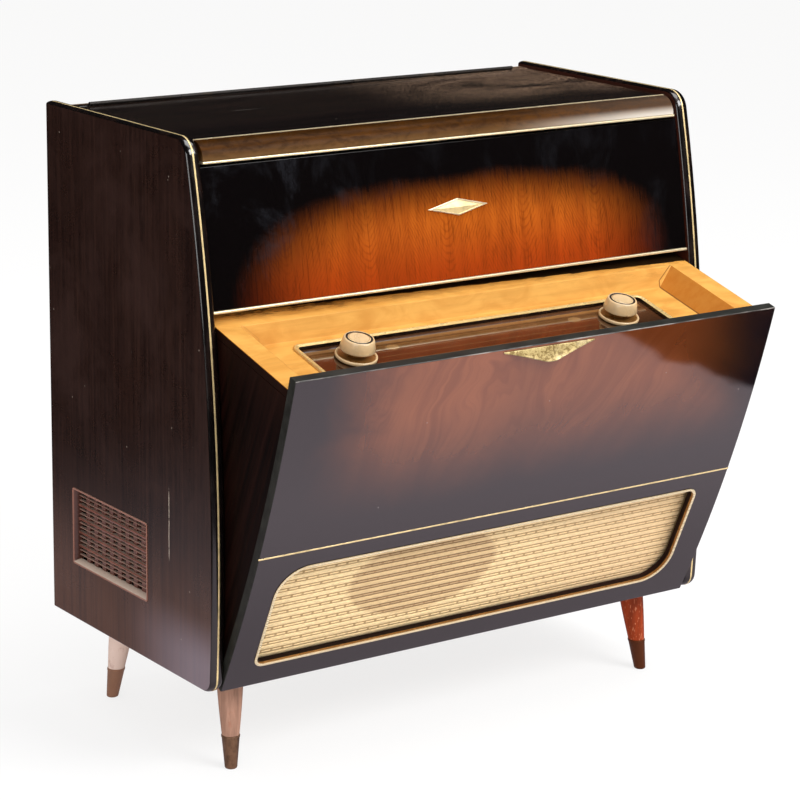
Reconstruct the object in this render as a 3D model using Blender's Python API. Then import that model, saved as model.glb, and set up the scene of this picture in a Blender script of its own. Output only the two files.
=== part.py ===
"""Music cabinet: a receiver that tilts out of the lower front, and a record player under a lift-up lid.

Metres, +Z up, floor at z = 0, the front faces -Y. The receiver is modelled shut and stands open.
"""

import math

import bmesh
import bpy
from mathutils import Matrix, Vector

# Clearances
SEAT_GAP = 0.0003
RUN_GAP = 0.0004

# Carcass
CABINET_WIDTH = 0.800
LEG_HEIGHT = 0.1237
CARCASS_HEIGHT = 0.6997
CABINET_DEPTH = 0.418
BELLY_HEIGHT = 0.1663
FRONT_RADIUS = 2.300
TOP_CORNER_RADIUS = 0.028
BOTTOM_CORNER_RADIUS = 0.020
SIDE_THICKNESS = 0.019
EDGE_ROUNDING = 0.006
INLAY_WIDTH = 0.0024
INLAY_DEPTH = 0.0015
INLAY_PROUD = 0.0002
BOTTOM_THICKNESS = 0.018
BOTTOM_RECESS = 0.0033
BOTTOM_FRONT_SETBACK = 0.041
BACK_THICKNESS = 0.005
BACK_RECESS = 0.003
BACK_SLOT_LENGTH = 0.070
BACK_SLOT_HEIGHT = 0.008
BACK_SLOT_PITCH_X = 0.110
BACK_SLOT_PITCH_Z = 0.030
BACK_SLOT_COLUMNS = 5
BACK_SLOT_ROWS = 6
BACK_SLOT_RISE = 0.250

# Fixed upper front panel
UPPER_PANEL_THICKNESS = 0.016
UPPER_PANEL_RECESS = 0.0065
UPPER_PANEL_HEIGHT = 0.1747
FRONT_TRIM_HEIGHT = 0.0035
FRONT_TRIM_PROUD = 0.0015
ORNAMENT_WIDTH = 0.096
ORNAMENT_HEIGHT = 0.022
ORNAMENT_FACE_WIDTH = 0.079
ORNAMENT_FACE_HEIGHT = 0.018
ORNAMENT_EDGE = 0.0015
ORNAMENT_THICKNESS = 0.003
ORNAMENT_RISE = 0.092

# Lid
LID_THICKNESS = 0.016
LID_SIDE_GAP = 0.005
LID_BELOW_SIDES = 0.0068
LID_OVER_PANEL = 0.0035
NOSE_DEPTH = 0.022
NOSE_HEIGHT = 0.0238
NOSE_BEHIND_SIDES = 0.002
LID_TRIM_WIDTH = 0.0024
LID_TRIM_PROUD = 0.0006
LOWER_TRIM_HEIGHT = 0.003
LOWER_TRIM_PROUD = 0.0015
LOWER_TRIM_DEPTH = 0.016
RAIL_DEPTH = 0.016
RAIL_HEIGHT = 0.030
HINGE_LEAF = 0.001
HINGE_LEAF_HEIGHT = 0.013
HINGE_BARREL = 0.0025
HINGE_PIN = 0.0010
HINGE_MARGIN = 0.026
HINGE_KNUCKLES = 5

# Record deck
DECK_THICKNESS = 0.018
COMPARTMENT_DEPTH = 0.1266
CHANGER_WIDTH = 0.330
CHANGER_BACK = 0.042
CHANGER_FRONT_GAP = 0.038
CHANGER_THICKNESS = 0.003
CUTOUT_MARGIN = 0.020
MOTOR_RADIUS = 0.045
MOTOR_HEIGHT = 0.055
MOTOR_OFFSET = 0.060
PLATTER_MARGIN = 0.010
PLATTER_HEIGHT = 0.016
PLATTER_CHAMFER = 0.004
PLATTER_OFFSET = -0.025
PLATTER_SHIFT = 0.008
HUB_RADIUS = 0.018
HUB_HEIGHT = 0.008
SPINDLE_RADIUS = 0.0035
SPINDLE_HEIGHT = 0.070
ARM_FROM_SIDE = 0.025
ARM_BACK = 0.040
ARM_FROM_FRONT = 0.035
ARM_HEIGHT = 0.020
ARM_TUBE_HEIGHT = 0.010
ARM_TUBE_HALF = 0.005
ARM_WEIGHT_LENGTH = 0.040
ARM_WEIGHT_HALF = 0.013
ARM_HEAD_LENGTH = 0.040
ARM_HEAD_HALF = 0.009
ARM_HEAD_DROP = 0.002
ARM_TAPER = 0.006
ARM_POST_RADIUS = 0.012
ARM_POST_TOP_RADIUS = 0.0096
ARM_POST_HEIGHT = 0.036
LEVER_FROM_SIDE = 0.025
LEVER_FROM_FRONT = 0.018
LEVER_LENGTH = 0.022
LEVER_HALF_WIDTH = 0.006
LEVER_THICKNESS = 0.005

# Tilting receiver
OPEN_ANGLE = math.radians(23.3)
TILT_RECESS = 0.006
TILT_THICKNESS = 0.014
TILT_SIDE_CLEARANCE = 0.0012
TILT_TOP_CLEARANCE = 0.0025
TILT_BOTTOM_RISE = 0.0092
PIVOT_SETBACK = 0.0394
PIVOT_RISE = 0.0125
PIVOT_STUD_RADIUS = 0.004
PIVOT_PLATE_THICKNESS = 0.0013
PIVOT_PLATE_SIZE = 0.034
WALL_THICKNESS = 0.012
WALL_INSET = 0.001
WALL_TOE = 0.012
WALL_HEEL_SETBACK = 0.0336
WALL_HEEL_RISE = 0.0238
LINE_RISE = 0.218
GRILLE_MARGIN = 0.0410
GRILLE_OFFSET = -0.0042
GRILLE_HEIGHT = 0.1615
GRILLE_RISE = 0.0328
GRILLE_LARGE_RADIUS = 0.045
GRILLE_SMALL_RADIUS = 0.016
BEAD_WIDTH = 0.0035
BEAD_PROUD = 0.0015
BEAD_DEPTH = 0.010
CLOTH_THICKNESS = 0.001
CLOTH_LAP = 0.004
BAFFLE_THICKNESS = 0.010
BAFFLE_LAP = 0.015
SPEAKER_OFFSET = -0.095
SPEAKER_RISE = 0.125
SPEAKER_HALF_WIDTH = 0.125
SPEAKER_HALF_HEIGHT = 0.074
SPEAKER_DEPTH = 0.060
SPEAKER_FLANGE = 0.008
SPEAKER_RIM = 0.003
MAGNET_RADIUS = 0.030
MAGNET_HEIGHT = 0.016
DOME_RADIUS = 0.012
CONE_BACKING = 0.008
HANDLE_WIDTH = 0.143
HANDLE_BELOW_EDGE = 0.004
HANDLE_DROP = 0.016
HANDLE_REACH = 0.011
HANDLE_LIP = 0.0015

# Control tray on the receiver
TRAY_SLOPE = math.radians(8.56)
TRAY_BELOW_PANEL = 0.0189
TRAY_FRONT_CLEARANCE = 0.0012
TRAY_RIM_THICKNESS = 0.012
TRAY_RIM_FRONT = 0.015
TRAY_RIM_SIDE = 0.032
TRAY_WELL_LENGTH = 0.147
TRAY_WELL_DEPTH = 0.025
TRAY_SPLAY = 0.024
TRAY_REAR_SPLAY = 0.012
TRAY_FLOOR_THICKNESS = 0.008
DIAL_OFFSET = -0.0055
BEZEL_MARGIN = 0.0418
BEZEL_DEPTH = 0.090
BEZEL_WIDTH = 0.007
BEZEL_HEIGHT = 0.003
BEZEL_CORNER = 0.012
BEZEL_FROM_FRONT = 0.047
BEZEL_SEAT = 0.0035
GLASS_THICKNESS = 0.004
GLASS_BELOW_FLOOR = 0.003
KNOB_FROM_END = 0.0705
KNOB_BASE_RADIUS = 0.0231
KNOB_TOP_RADIUS = 0.0195
KNOB_FACE_RADIUS = 0.0155
KNOB_FACE_DEPTH = 0.0012
KNOB_EDGE = 0.0025
KNOB_HEIGHT = 0.0173
KNOB_NECK_RADIUS = 0.0139
KNOB_NECK_HEIGHT = 0.0040
KNOB_SHAFT_RADIUS = 0.004
RING_RADIUS = 0.0273
RING_HEIGHT = 0.0046
RING_CHAMFER = 0.0015
RING_SLEEVE_RADIUS = 0.008
RING_STANDOFF = 0.0012
GLASS_HOLE_RADIUS = 0.0095
KEY_COUNT = 4
KEY_WIDTH = 0.040
KEY_LENGTH = 0.020
KEY_PITCH = 0.046
KEY_HEIGHT = 0.009
KEY_FOOT = 0.0025
KEY_CHAMFER = 0.003
CHASSIS_LENGTH = 0.135
CHASSIS_HEIGHT = 0.075
CHASSIS_SHEET = 0.002
STOP_RAIL_WIDTH = 0.013
STOP_RAIL_HEIGHT = 0.022
STOP_STRIP_THICKNESS = 0.003
STOP_STRIP_HEIGHT = 0.018

# Side vents and side loudspeakers
VENT_LENGTH = 0.200
VENT_HEIGHT = 0.107
VENT_BACK = 0.057
VENT_RISE = 0.0793
VENT_FRAME = 0.007
VENT_BAR = 0.005
VENT_COLUMNS = 9
VENT_ROWS = 5
VENT_RECESS = 0.007
VENT_THICKNESS = 0.006
SIDE_SPEAKER_HALF_LENGTH = 0.085
SIDE_SPEAKER_DEPTH = 0.048
SIDE_SPEAKER_LAP = 0.008

# Legs
LEG_SET_IN = 0.0584
LEG_FRONT_SET_IN = 0.0521
LEG_REAR_SET_IN = 0.0546
LEG_SPLAY_X = 0.0095
LEG_SPLAY_Y = 0.018
LEG_TOP_RADIUS = 0.0185
FERRULE_HEIGHT = 0.043
FERRULE_TOP_RADIUS = 0.0118
FERRULE_TIP_RADIUS = 0.0082
FERRULE_CHAMFER = 0.0015


def front_at(height, inset):
    """Distance forward of the cabinet's back of the front curve, set back by inset, at a height."""
    return ARC_CENTRE + math.sqrt((FRONT_RADIUS - inset) ** 2 - (height - BELLY_Z) ** 2)


# Planes that several pieces share
HALF_WIDTH = CABINET_WIDTH / 2
INNER_X = HALF_WIDTH - SIDE_THICKNESS
BOARD_X = INNER_X - SEAT_GAP
SIDE_BOTTOM = LEG_HEIGHT
SIDE_TOP = LEG_HEIGHT + CARCASS_HEIGHT
BELLY_Z = SIDE_BOTTOM + BELLY_HEIGHT
ARC_CENTRE = CABINET_DEPTH - FRONT_RADIUS
LID_TOP = SIDE_TOP - LID_BELOW_SIDES
LID_X = INNER_X - LID_SIDE_GAP
LID_UNDERSIDE = LID_TOP - LID_THICKNESS
DECK_TOP = LID_TOP - COMPARTMENT_DEPTH
BACK_INNER = BACK_RECESS + BACK_THICKNESS
RAIL_FRONT = BACK_INNER + SEAT_GAP + RAIL_DEPTH
HINGE_AXIS = RAIL_FRONT + HINGE_LEAF + 1.5 * SEAT_GAP
HINGE_Z = LID_TOP + HINGE_BARREL + SEAT_GAP
HINGE_LENGTH = 2 * (LID_X - HINGE_MARGIN)
NOSE_BOTTOM = LID_TOP - NOSE_HEIGHT
LOWER_TRIM_BOTTOM = NOSE_BOTTOM - SEAT_GAP - LOWER_TRIM_HEIGHT
UPPER_PANEL_TOP = LOWER_TRIM_BOTTOM - LID_OVER_PANEL
UPPER_PANEL_BOTTOM = UPPER_PANEL_TOP - UPPER_PANEL_HEIGHT
FRONT_TRIM_BOTTOM = UPPER_PANEL_BOTTOM - SEAT_GAP - FRONT_TRIM_HEIGHT
UPPER_PANEL_BACK = UPPER_PANEL_RECESS + UPPER_PANEL_THICKNESS
DECK_FRONT = front_at(DECK_TOP, UPPER_PANEL_BACK) - SEAT_GAP
CHANGER_LENGTH = DECK_FRONT - CHANGER_FRONT_GAP - CHANGER_BACK
PLATTER_RADIUS = CHANGER_LENGTH / 2 - PLATTER_MARGIN
PLATTER_BACK = CHANGER_LENGTH / 2 + PLATTER_SHIFT
ARM_OFFSET = CHANGER_WIDTH / 2 - ARM_FROM_SIDE
ARM_LENGTH = CHANGER_LENGTH - ARM_BACK - ARM_FROM_FRONT
LEVER_OFFSET = CHANGER_WIDTH / 2 - LEVER_FROM_SIDE
LEVER_BACK = CHANGER_LENGTH - LEVER_FROM_FRONT
TILT_TOP = FRONT_TRIM_BOTTOM - TILT_TOP_CLEARANCE
TILT_BOTTOM = SIDE_BOTTOM + TILT_BOTTOM_RISE
TILT_BACK = TILT_RECESS + TILT_THICKNESS
TILT_X = INNER_X - TILT_SIDE_CLEARANCE
PIVOT_F = CABINET_DEPTH - PIVOT_SETBACK
PIVOT_Z = SIDE_BOTTOM + PIVOT_RISE
WALL_X = TILT_X - WALL_INSET
WALL_INNER_X = WALL_X - WALL_THICKNESS
BETWEEN_WALLS = WALL_INNER_X - SEAT_GAP
GRILLE_X = TILT_X - GRILLE_MARGIN
WELL_X = WALL_X - TRAY_RIM_SIDE
BEZEL_LENGTH = 2 * (WELL_X - TRAY_SPLAY - BEZEL_MARGIN)
KNOB_SPACING = BEZEL_LENGTH - 2 * KNOB_FROM_END

FINISHES = {
    "dark_veneer": ((0.050, 0.030, 0.022), 0.30, 0.0),
    "figured_veneer": ((0.330, 0.120, 0.030), 0.15, 0.0),
    "maple": ((0.700, 0.430, 0.170), 0.40, 0.0),
    "leg_wood": ((0.300, 0.100, 0.040), 0.50, 0.0),
    "plain_board": ((0.350, 0.230, 0.130), 0.70, 0.0),
    "hardboard": ((0.200, 0.120, 0.070), 0.80, 0.0),
    "brass": ((0.800, 0.640, 0.330), 0.30, 1.0),
    "dull_brass": ((0.220, 0.160, 0.100), 0.50, 0.9),
    "steel": ((0.550, 0.550, 0.540), 0.45, 1.0),
    "cream_enamel": ((0.720, 0.660, 0.520), 0.40, 0.0),
    "rubber": ((0.030, 0.030, 0.030), 0.80, 0.0),
    "felt": ((0.060, 0.050, 0.050), 0.95, 0.0),
    "speaker_cloth": ((0.720, 0.560, 0.330), 0.80, 0.0),
    "brown_plastic": ((0.130, 0.060, 0.040), 0.50, 0.0),
    "ivory": ((0.800, 0.720, 0.560), 0.30, 0.0),
    "dial_glass": ((0.060, 0.030, 0.020), 0.08, 0.0),
    "paper_cone": ((0.080, 0.075, 0.070), 0.80, 0.0),
}


# Shared shapes of the front
def front_angle(height, inset):
    return math.asin((height - BELLY_Z) / (FRONT_RADIUS - inset))


def arc(centre, radius, start, end, steps):
    """Points (forward, height) on a circle from one angle to another."""
    angles = [start + (end - start) * i / steps for i in range(steps + 1)]
    return [(centre[0] + radius * math.cos(a), centre[1] + radius * math.sin(a)) for a in angles]


def corner_on_front(height, radius):
    """Centre of a corner rounding that touches the front curve and a level edge radius away from height."""
    reach = math.sqrt((FRONT_RADIUS - radius) ** 2 - (height - BELLY_Z) ** 2)
    return (ARC_CENTRE + reach, height)


def side_edge(inset):
    """The side's top, front and bottom edge from the back round to the back, set in by inset."""
    top = corner_on_front(SIDE_TOP - TOP_CORNER_RADIUS, TOP_CORNER_RADIUS)
    low = corner_on_front(SIDE_BOTTOM + BOTTOM_CORNER_RADIUS, BOTTOM_CORNER_RADIUS)
    belly = (ARC_CENTRE, BELLY_Z)
    top_angle = math.atan2(top[1] - belly[1], top[0] - belly[0])
    low_angle = math.atan2(low[1] - belly[1], low[0] - belly[0])
    points = [(0.0, SIDE_TOP - inset)]
    points += arc(top, TOP_CORNER_RADIUS - inset, math.pi / 2, top_angle, 7)
    points += arc(belly, FRONT_RADIUS - inset, top_angle, low_angle, 14)[1:-1]
    points += arc(low, BOTTOM_CORNER_RADIUS - inset, low_angle, -math.pi / 2, 6)
    points.append((0.0, SIDE_BOTTOM + inset))
    return points


def front_slab(low, high, front_inset, back_inset, steps, square_ends=False):
    """Outline (forward, height) of a panel along the front curve, its ends level or square to the curve."""
    centre = (ARC_CENTRE, BELLY_Z)
    end_inset = front_inset if square_ends else back_inset
    start, end = (front_angle(height, front_inset) for height in (low, high))
    outer = arc(centre, FRONT_RADIUS - front_inset, start, end, steps)
    start, end = (front_angle(height, end_inset) for height in (low, high))
    inner = arc(centre, FRONT_RADIUS - back_inset, end, start, steps)
    return outer + inner


def rounded_rectangle(left, right, low, high, radii, steps):
    """Outline clockwise from the top left; radii in the order top left, top right, low right, low left."""
    corners = [
        (left + radii[0], high - radii[0], radii[0], math.pi),
        (right - radii[1], high - radii[1], radii[1], math.pi / 2),
        (right - radii[2], low + radii[2], radii[2], 0.0),
        (left + radii[3], low + radii[3], radii[3], -math.pi / 2),
    ]
    outline = []
    for across, up, radius, start in corners:
        outline += arc((across, up), radius, start, start - math.pi / 2, steps)
    return outline


# Mesh building
def point(across, forward, height):
    return Vector((across, -forward, height))


def loft(rings, closed=False):
    """Vertices and faces of a skin over rings of equal count; it is capped at both ends unless closed."""
    count = len(rings[0])
    verts = [v for ring in rings for v in ring]
    spans = len(rings) if closed else len(rings) - 1
    faces = []
    for i in range(spans):
        here = i * count
        there = ((i + 1) % len(rings)) * count
        for j in range(count):
            k = (j + 1) % count
            faces.append((here + j, here + k, there + k, there + j))
    if not closed:
        faces.append(tuple(range(count)))
        faces.append(tuple(range(len(verts) - count, len(verts))))
    return verts, faces


def sheet_with_back(rings):
    """A skin over open rings that start and end on one flat back, closed by that back and by both end faces."""
    count = len(rings[0])
    last = len(rings) - 1
    verts = [v for ring in rings for v in ring]
    faces = []
    for i in range(last):
        for j in range(count - 1):
            here = i * count + j
            faces.append((here, here + 1, here + count + 1, here + count))
    faces.append(tuple(range(count)))
    faces.append(tuple(range(last * count, len(verts))))
    starts = [i * count for i in range(last + 1)]
    ends = [i * count + count - 1 for i in reversed(range(last + 1))]
    faces.append(tuple(starts + ends))
    return verts, faces


def across_prism(outline, left, right):
    """A (forward, height) outline drawn out along X."""
    return loft([[point(x, f, z) for f, z in outline] for x in (left, right)])


def forward_prism(outline, back, front):
    """An (across, height) outline drawn out along the depth."""
    return loft([[point(x, f, z) for x, z in outline] for f in (back, front)])


def block(left, right, back, front, low, high):
    return across_prism([(back, low), (front, low), (front, high), (back, high)], left, right)


def turned(profile, steps):
    """A (radius, height) profile turned about Z, capped at both ends."""
    rings = []
    for radius, height in profile:
        turns = [2 * math.pi * i / steps for i in range(steps)]
        rings.append([Vector((radius * math.cos(a), radius * math.sin(a), height)) for a in turns])
    return loft(rings)


def turned_ring(profile, steps):
    """A closed (radius, height) profile turned about Z into a ring with a bore."""
    rings = []
    for i in range(steps):
        a = 2 * math.pi * i / steps
        rings.append([Vector((r * math.cos(a), r * math.sin(a), h)) for r, h in profile])
    return loft(rings, closed=True)


def grid_plate(columns, rows, is_hole, near, far, place):
    """A plate on a grid of lines, open in the cells that is_hole names; place turns (u, v, w) into a point."""
    wide = len(columns) - 1
    tall = len(rows) - 1

    def solid(i, j):
        return 0 <= i < wide and 0 <= j < tall and not is_hole(i, j)

    verts = []
    index = {}

    def vertex(i, j, w):
        key = (i, j, w)
        if key not in index:
            index[key] = len(verts)
            verts.append(place(columns[i], rows[j], w))
        return index[key]

    faces = []
    for i in range(wide):
        for j in range(tall):
            if not solid(i, j):
                continue
            corners = [(i, j), (i + 1, j), (i + 1, j + 1), (i, j + 1)]
            faces.append([vertex(a, b, near) for a, b in corners])
            faces.append([vertex(a, b, far) for a, b in reversed(corners)])
            beside = [(i, j - 1), (i + 1, j), (i, j + 1), (i - 1, j)]
            for k, cell in enumerate(beside):
                if solid(*cell):
                    continue
                a, b = corners[k], corners[(k + 1) % 4]
                faces.append([vertex(*b, near), vertex(*a, near), vertex(*a, far), vertex(*b, far)])
    return verts, faces


# Scene objects
def clear_scene():
    for obj in list(bpy.data.objects):
        bpy.data.objects.remove(obj, do_unlink=True)


def add_empty(name, location, parent=None, turn=0.0):
    empty = bpy.data.objects.new(name, None)
    empty.location = location
    empty.rotation_euler = (turn, 0.0, 0.0)
    empty.parent = parent
    bpy.context.collection.objects.link(empty)
    return empty


def add_object(name, shape, parent, origin=Vector(), turn=0.0):
    """An object under parent, its mesh given in the frame of origin."""
    mesh = bpy.data.meshes.new(name)
    mesh.from_pydata([tuple(v) for v in shape[0]], [], shape[1])
    builder = bmesh.new()
    builder.from_mesh(mesh)
    bmesh.ops.recalc_face_normals(builder, faces=builder.faces)
    builder.to_mesh(mesh)
    builder.free()
    obj = bpy.data.objects.new(name, mesh)
    obj.location = origin
    obj.rotation_euler = (turn, 0.0, 0.0)
    obj.parent = parent
    bpy.context.collection.objects.link(obj)
    return obj


def add_piece(name, finish, shape, parent, origin=Vector(), turn=0.0, round_piece=False):
    """A named piece with a material of its own in one of the finishes."""
    obj = add_object(name, shape, parent, origin, turn)
    colour, roughness, metallic = FINISHES[finish]
    material = bpy.data.materials.new(name)
    material.use_nodes = True
    shader = material.node_tree.nodes["Principled BSDF"]
    shader.inputs["Base Color"].default_value = (*colour, 1.0)
    shader.inputs["Roughness"].default_value = roughness
    shader.inputs["Metallic"].default_value = metallic
    obj.data.materials.append(material)
    if round_piece:
        obj.data.shade_smooth()
        obj.data.set_sharp_from_angle(angle=math.radians(40))
    return obj


def combine(target, tool, operation):
    """Cuts tool out of target, or joins it on; the tool itself is only a guide."""
    tool.hide_render = True
    tool.display_type = "WIRE"
    modifier = target.modifiers.new(tool.name, "BOOLEAN")
    modifier.operation = operation
    modifier.object = tool


def moved(shape, offset):
    return [v + offset for v in shape[0]], shape[1]


def tube_along_x(radius, bore, left, right, forward, height, steps):
    """A tube, or a rod where bore is zero, along X."""
    if bore:
        shape = turned_ring([(bore, left), (radius, left), (radius, right), (bore, right)], steps)
    else:
        shape = turned([(radius, left), (radius, right)], steps)
    return [point(v.z, v.x + forward, v.y + height) for v in shape[0]], shape[1]


# Carcass
def side_layers():
    """Distance in from the outer face, and set-back, of each line along the half-round edge and its groove."""
    groove = INLAY_WIDTH / 2 + SEAT_GAP
    half = SIDE_THICKNESS / 2 - groove
    layers = []
    for step in range(4):
        a = math.pi / 2 * step / 3
        layers.append((half * (1 - math.cos(a)), EDGE_ROUNDING * (1 - math.sin(a))))
    layers.append((half, INLAY_DEPTH + SEAT_GAP))
    mirrored = [(SIDE_THICKNESS - into, inset) for into, inset in reversed(layers)]
    return layers + mirrored


def make_side(name, hand, root):
    rings = [[point(hand * (HALF_WIDTH - u), f, z) for f, z in side_edge(inset)] for u, inset in side_layers()]
    side = add_piece("side_panel_" + name, "dark_veneer", sheet_with_back(rings), root, round_piece=True)
    low = SIDE_BOTTOM + VENT_RISE
    outer = hand * (HALF_WIDTH + SIDE_THICKNESS)
    inner = hand * (INNER_X - SIDE_THICKNESS)
    opening = block(outer, inner, VENT_BACK, VENT_BACK + VENT_LENGTH, low, low + VENT_HEIGHT)
    combine(side, add_object("vent_cut_" + name, opening, root), "DIFFERENCE")

    middle = HALF_WIDTH - SIDE_THICKNESS / 2
    lines = []
    for across in (middle - INLAY_WIDTH / 2, middle + INLAY_WIDTH / 2):
        for inset in (-INLAY_PROUD, INLAY_DEPTH):
            lines.append([point(hand * across, f, z) for f, z in side_edge(inset)])
    order = (lines[0], lines[1], lines[3], lines[2])
    rings = [[line[i] for line in order] for i in range(len(lines[0]))]
    add_piece("edge_inlay_" + name, "brass", loft(rings), root)


def make_vent(name, hand, root):
    """The louvred vent insert, and the loudspeaker behind it."""
    gap = SEAT_GAP
    low = SIDE_BOTTOM + VENT_RISE + gap
    back = VENT_BACK + gap
    columns = grid_lines(back, VENT_LENGTH - 2 * gap, VENT_FRAME, VENT_BAR, VENT_COLUMNS)
    rows = grid_lines(low, VENT_HEIGHT - 2 * gap, VENT_FRAME, VENT_BAR, VENT_ROWS)
    near = HALF_WIDTH - VENT_RECESS
    shape = grid_plate(
        columns, rows, odd_cell, near, near - VENT_THICKNESS, lambda u, v, w: point(hand * w, u, v)
    )
    add_piece("vent_grille_" + name, "brown_plastic", shape, root)

    half_height = VENT_HEIGHT / 2 + SIDE_SPEAKER_LAP
    shape = speaker(SIDE_SPEAKER_HALF_LENGTH, half_height, SIDE_SPEAKER_DEPTH)
    centre = (VENT_BACK + VENT_LENGTH / 2, SIDE_BOTTOM + VENT_RISE + VENT_HEIGHT / 2)
    placed = [point(hand * (BOARD_X - v.z), centre[0] + v.x, centre[1] + v.y) for v in shape[0]]
    add_piece("side_speaker_" + name, "paper_cone", (placed, shape[1]), root, round_piece=True)


def grid_lines(start, length, frame, bar, count):
    """Lines of a grid of count openings between bars, inside a frame."""
    opening = (length - 2 * frame - (count - 1) * bar) / count
    lines = [start, start + frame]
    for i in range(count):
        lines.append(lines[-1] + opening)
        if i < count - 1:
            lines.append(lines[-1] + bar)
    lines.append(start + length)
    return lines


def odd_cell(i, j):
    return i % 2 == 1 and j % 2 == 1


def speaker(half_width, half_height, depth):
    """Loudspeaker facing -Z at z = 0: cone, basket and magnet in one body."""
    wide = half_width - SPEAKER_FLANGE
    tall = half_height - SPEAKER_FLANGE
    basket = depth - MAGNET_HEIGHT
    rings = [
        (DOME_RADIUS, DOME_RADIUS, basket - CONE_BACKING),
        (wide, tall, SPEAKER_RIM / 2),
        (wide, tall, 0.0),
        (half_width, half_height, 0.0),
        (half_width, half_height, SPEAKER_RIM),
        (wide, tall, SPEAKER_RIM),
        (MAGNET_RADIUS, MAGNET_RADIUS, basket),
        (MAGNET_RADIUS, MAGNET_RADIUS, depth),
    ]
    turns = [2 * math.pi * i / 24 for i in range(24)]
    return loft([[Vector((a * math.cos(t), b * math.sin(t), z)) for t in turns] for a, b, z in rings])


def make_boards(root):
    low = SIDE_BOTTOM + BOTTOM_RECESS
    shoulder = PIVOT_F - BOTTOM_FRONT_SETBACK
    tongue = WALL_INNER_X - RUN_GAP
    outline = [(-BOARD_X, BACK_INNER + SEAT_GAP), (BOARD_X, BACK_INNER + SEAT_GAP), (BOARD_X, shoulder)]
    outline += [(tongue, shoulder), (tongue, PIVOT_F), (-tongue, PIVOT_F), (-tongue, shoulder)]
    outline.append((-BOARD_X, shoulder))
    shape = loft([[point(x, f, z) for x, f in outline] for z in (low, low + BOTTOM_THICKNESS)])
    add_piece("bottom_board", "plain_board", shape, root)

    high = LID_TOP
    columns = slot_lines(-BOARD_X, BOARD_X, BACK_SLOT_LENGTH, BACK_SLOT_PITCH_X, BACK_SLOT_COLUMNS, 0.0)
    middle = low + BACK_SLOT_RISE
    rows = slot_lines(low, high, BACK_SLOT_HEIGHT, BACK_SLOT_PITCH_Z, BACK_SLOT_ROWS, middle)
    shape = grid_plate(columns, rows, odd_cell, BACK_RECESS, BACK_INNER, lambda u, v, w: point(u, w, v))
    add_piece("back_panel", "hardboard", shape, root)

    shape = block(-BOARD_X, BOARD_X, BACK_INNER + SEAT_GAP, RAIL_FRONT, LID_TOP - RAIL_HEIGHT, LID_TOP)
    add_piece("lid_rear_rail", "dark_veneer", shape, root)

    deck_low = DECK_TOP - DECK_THICKNESS
    shape = block(-BOARD_X, BOARD_X, BACK_INNER + SEAT_GAP, DECK_FRONT, deck_low, DECK_TOP)
    deck = add_piece("deck_board", "plain_board", shape, root)
    side = CHANGER_WIDTH / 2 - CUTOUT_MARGIN
    front = CHANGER_BACK + CHANGER_LENGTH - CUTOUT_MARGIN
    cut = block(-side, side, CHANGER_BACK + CUTOUT_MARGIN, front, deck_low - DECK_THICKNESS, SIDE_TOP)
    combine(deck, add_object("deck_cut", cut, root), "DIFFERENCE")


def slot_lines(start, end, slot, pitch, count, centre):
    """Grid lines of count slots at a pitch about a centre, inside a plate from start to end."""
    lines = [start]
    for i in range(count):
        middle = centre + (i - (count - 1) / 2) * pitch
        lines += [middle - slot / 2, middle + slot / 2]
    return lines + [end]


def make_upper_front(root):
    outline = front_slab(UPPER_PANEL_BOTTOM, UPPER_PANEL_TOP, UPPER_PANEL_RECESS, UPPER_PANEL_BACK, 8)
    panel = across_prism(outline, -BOARD_X, BOARD_X)
    add_piece("upper_front_panel", "figured_veneer", panel, root, round_piece=True)

    back = front_at(UPPER_PANEL_BOTTOM, UPPER_PANEL_BACK)
    front = front_at(UPPER_PANEL_BOTTOM, UPPER_PANEL_RECESS) + FRONT_TRIM_PROUD
    trim = block(-BOARD_X, BOARD_X, back, front, FRONT_TRIM_BOTTOM, FRONT_TRIM_BOTTOM + FRONT_TRIM_HEIGHT)
    add_piece("front_trim", "brass", trim, root)

    middle = UPPER_PANEL_BOTTOM + ORNAMENT_RISE
    layers = ((ORNAMENT_WIDTH, ORNAMENT_HEIGHT, 0.0), (ORNAMENT_WIDTH, ORNAMENT_HEIGHT, ORNAMENT_EDGE))
    layers += ((ORNAMENT_FACE_WIDTH, ORNAMENT_FACE_HEIGHT, ORNAMENT_THICKNESS),)
    rings = []
    for width, height, lift in layers:
        ring = []
        for across, up in ((-width / 2, 0.0), (0.0, height / 2), (width / 2, 0.0), (0.0, -height / 2)):
            seat = front_at(middle + up, UPPER_PANEL_RECESS) + SEAT_GAP
            ring.append(point(across, seat + lift, middle + up))
        rings.append(ring)
    add_piece("front_ornament", "brass", loft(rings), root)

    low = UPPER_PANEL_BOTTOM + SEAT_GAP
    strip = front_slab(
        low, low + STOP_STRIP_HEIGHT, UPPER_PANEL_BACK + SEAT_GAP, UPPER_PANEL_BACK + STOP_STRIP_THICKNESS, 1
    )
    add_piece("stop_strip", "felt", across_prism(strip, -BETWEEN_WALLS, BETWEEN_WALLS), root)


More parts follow.
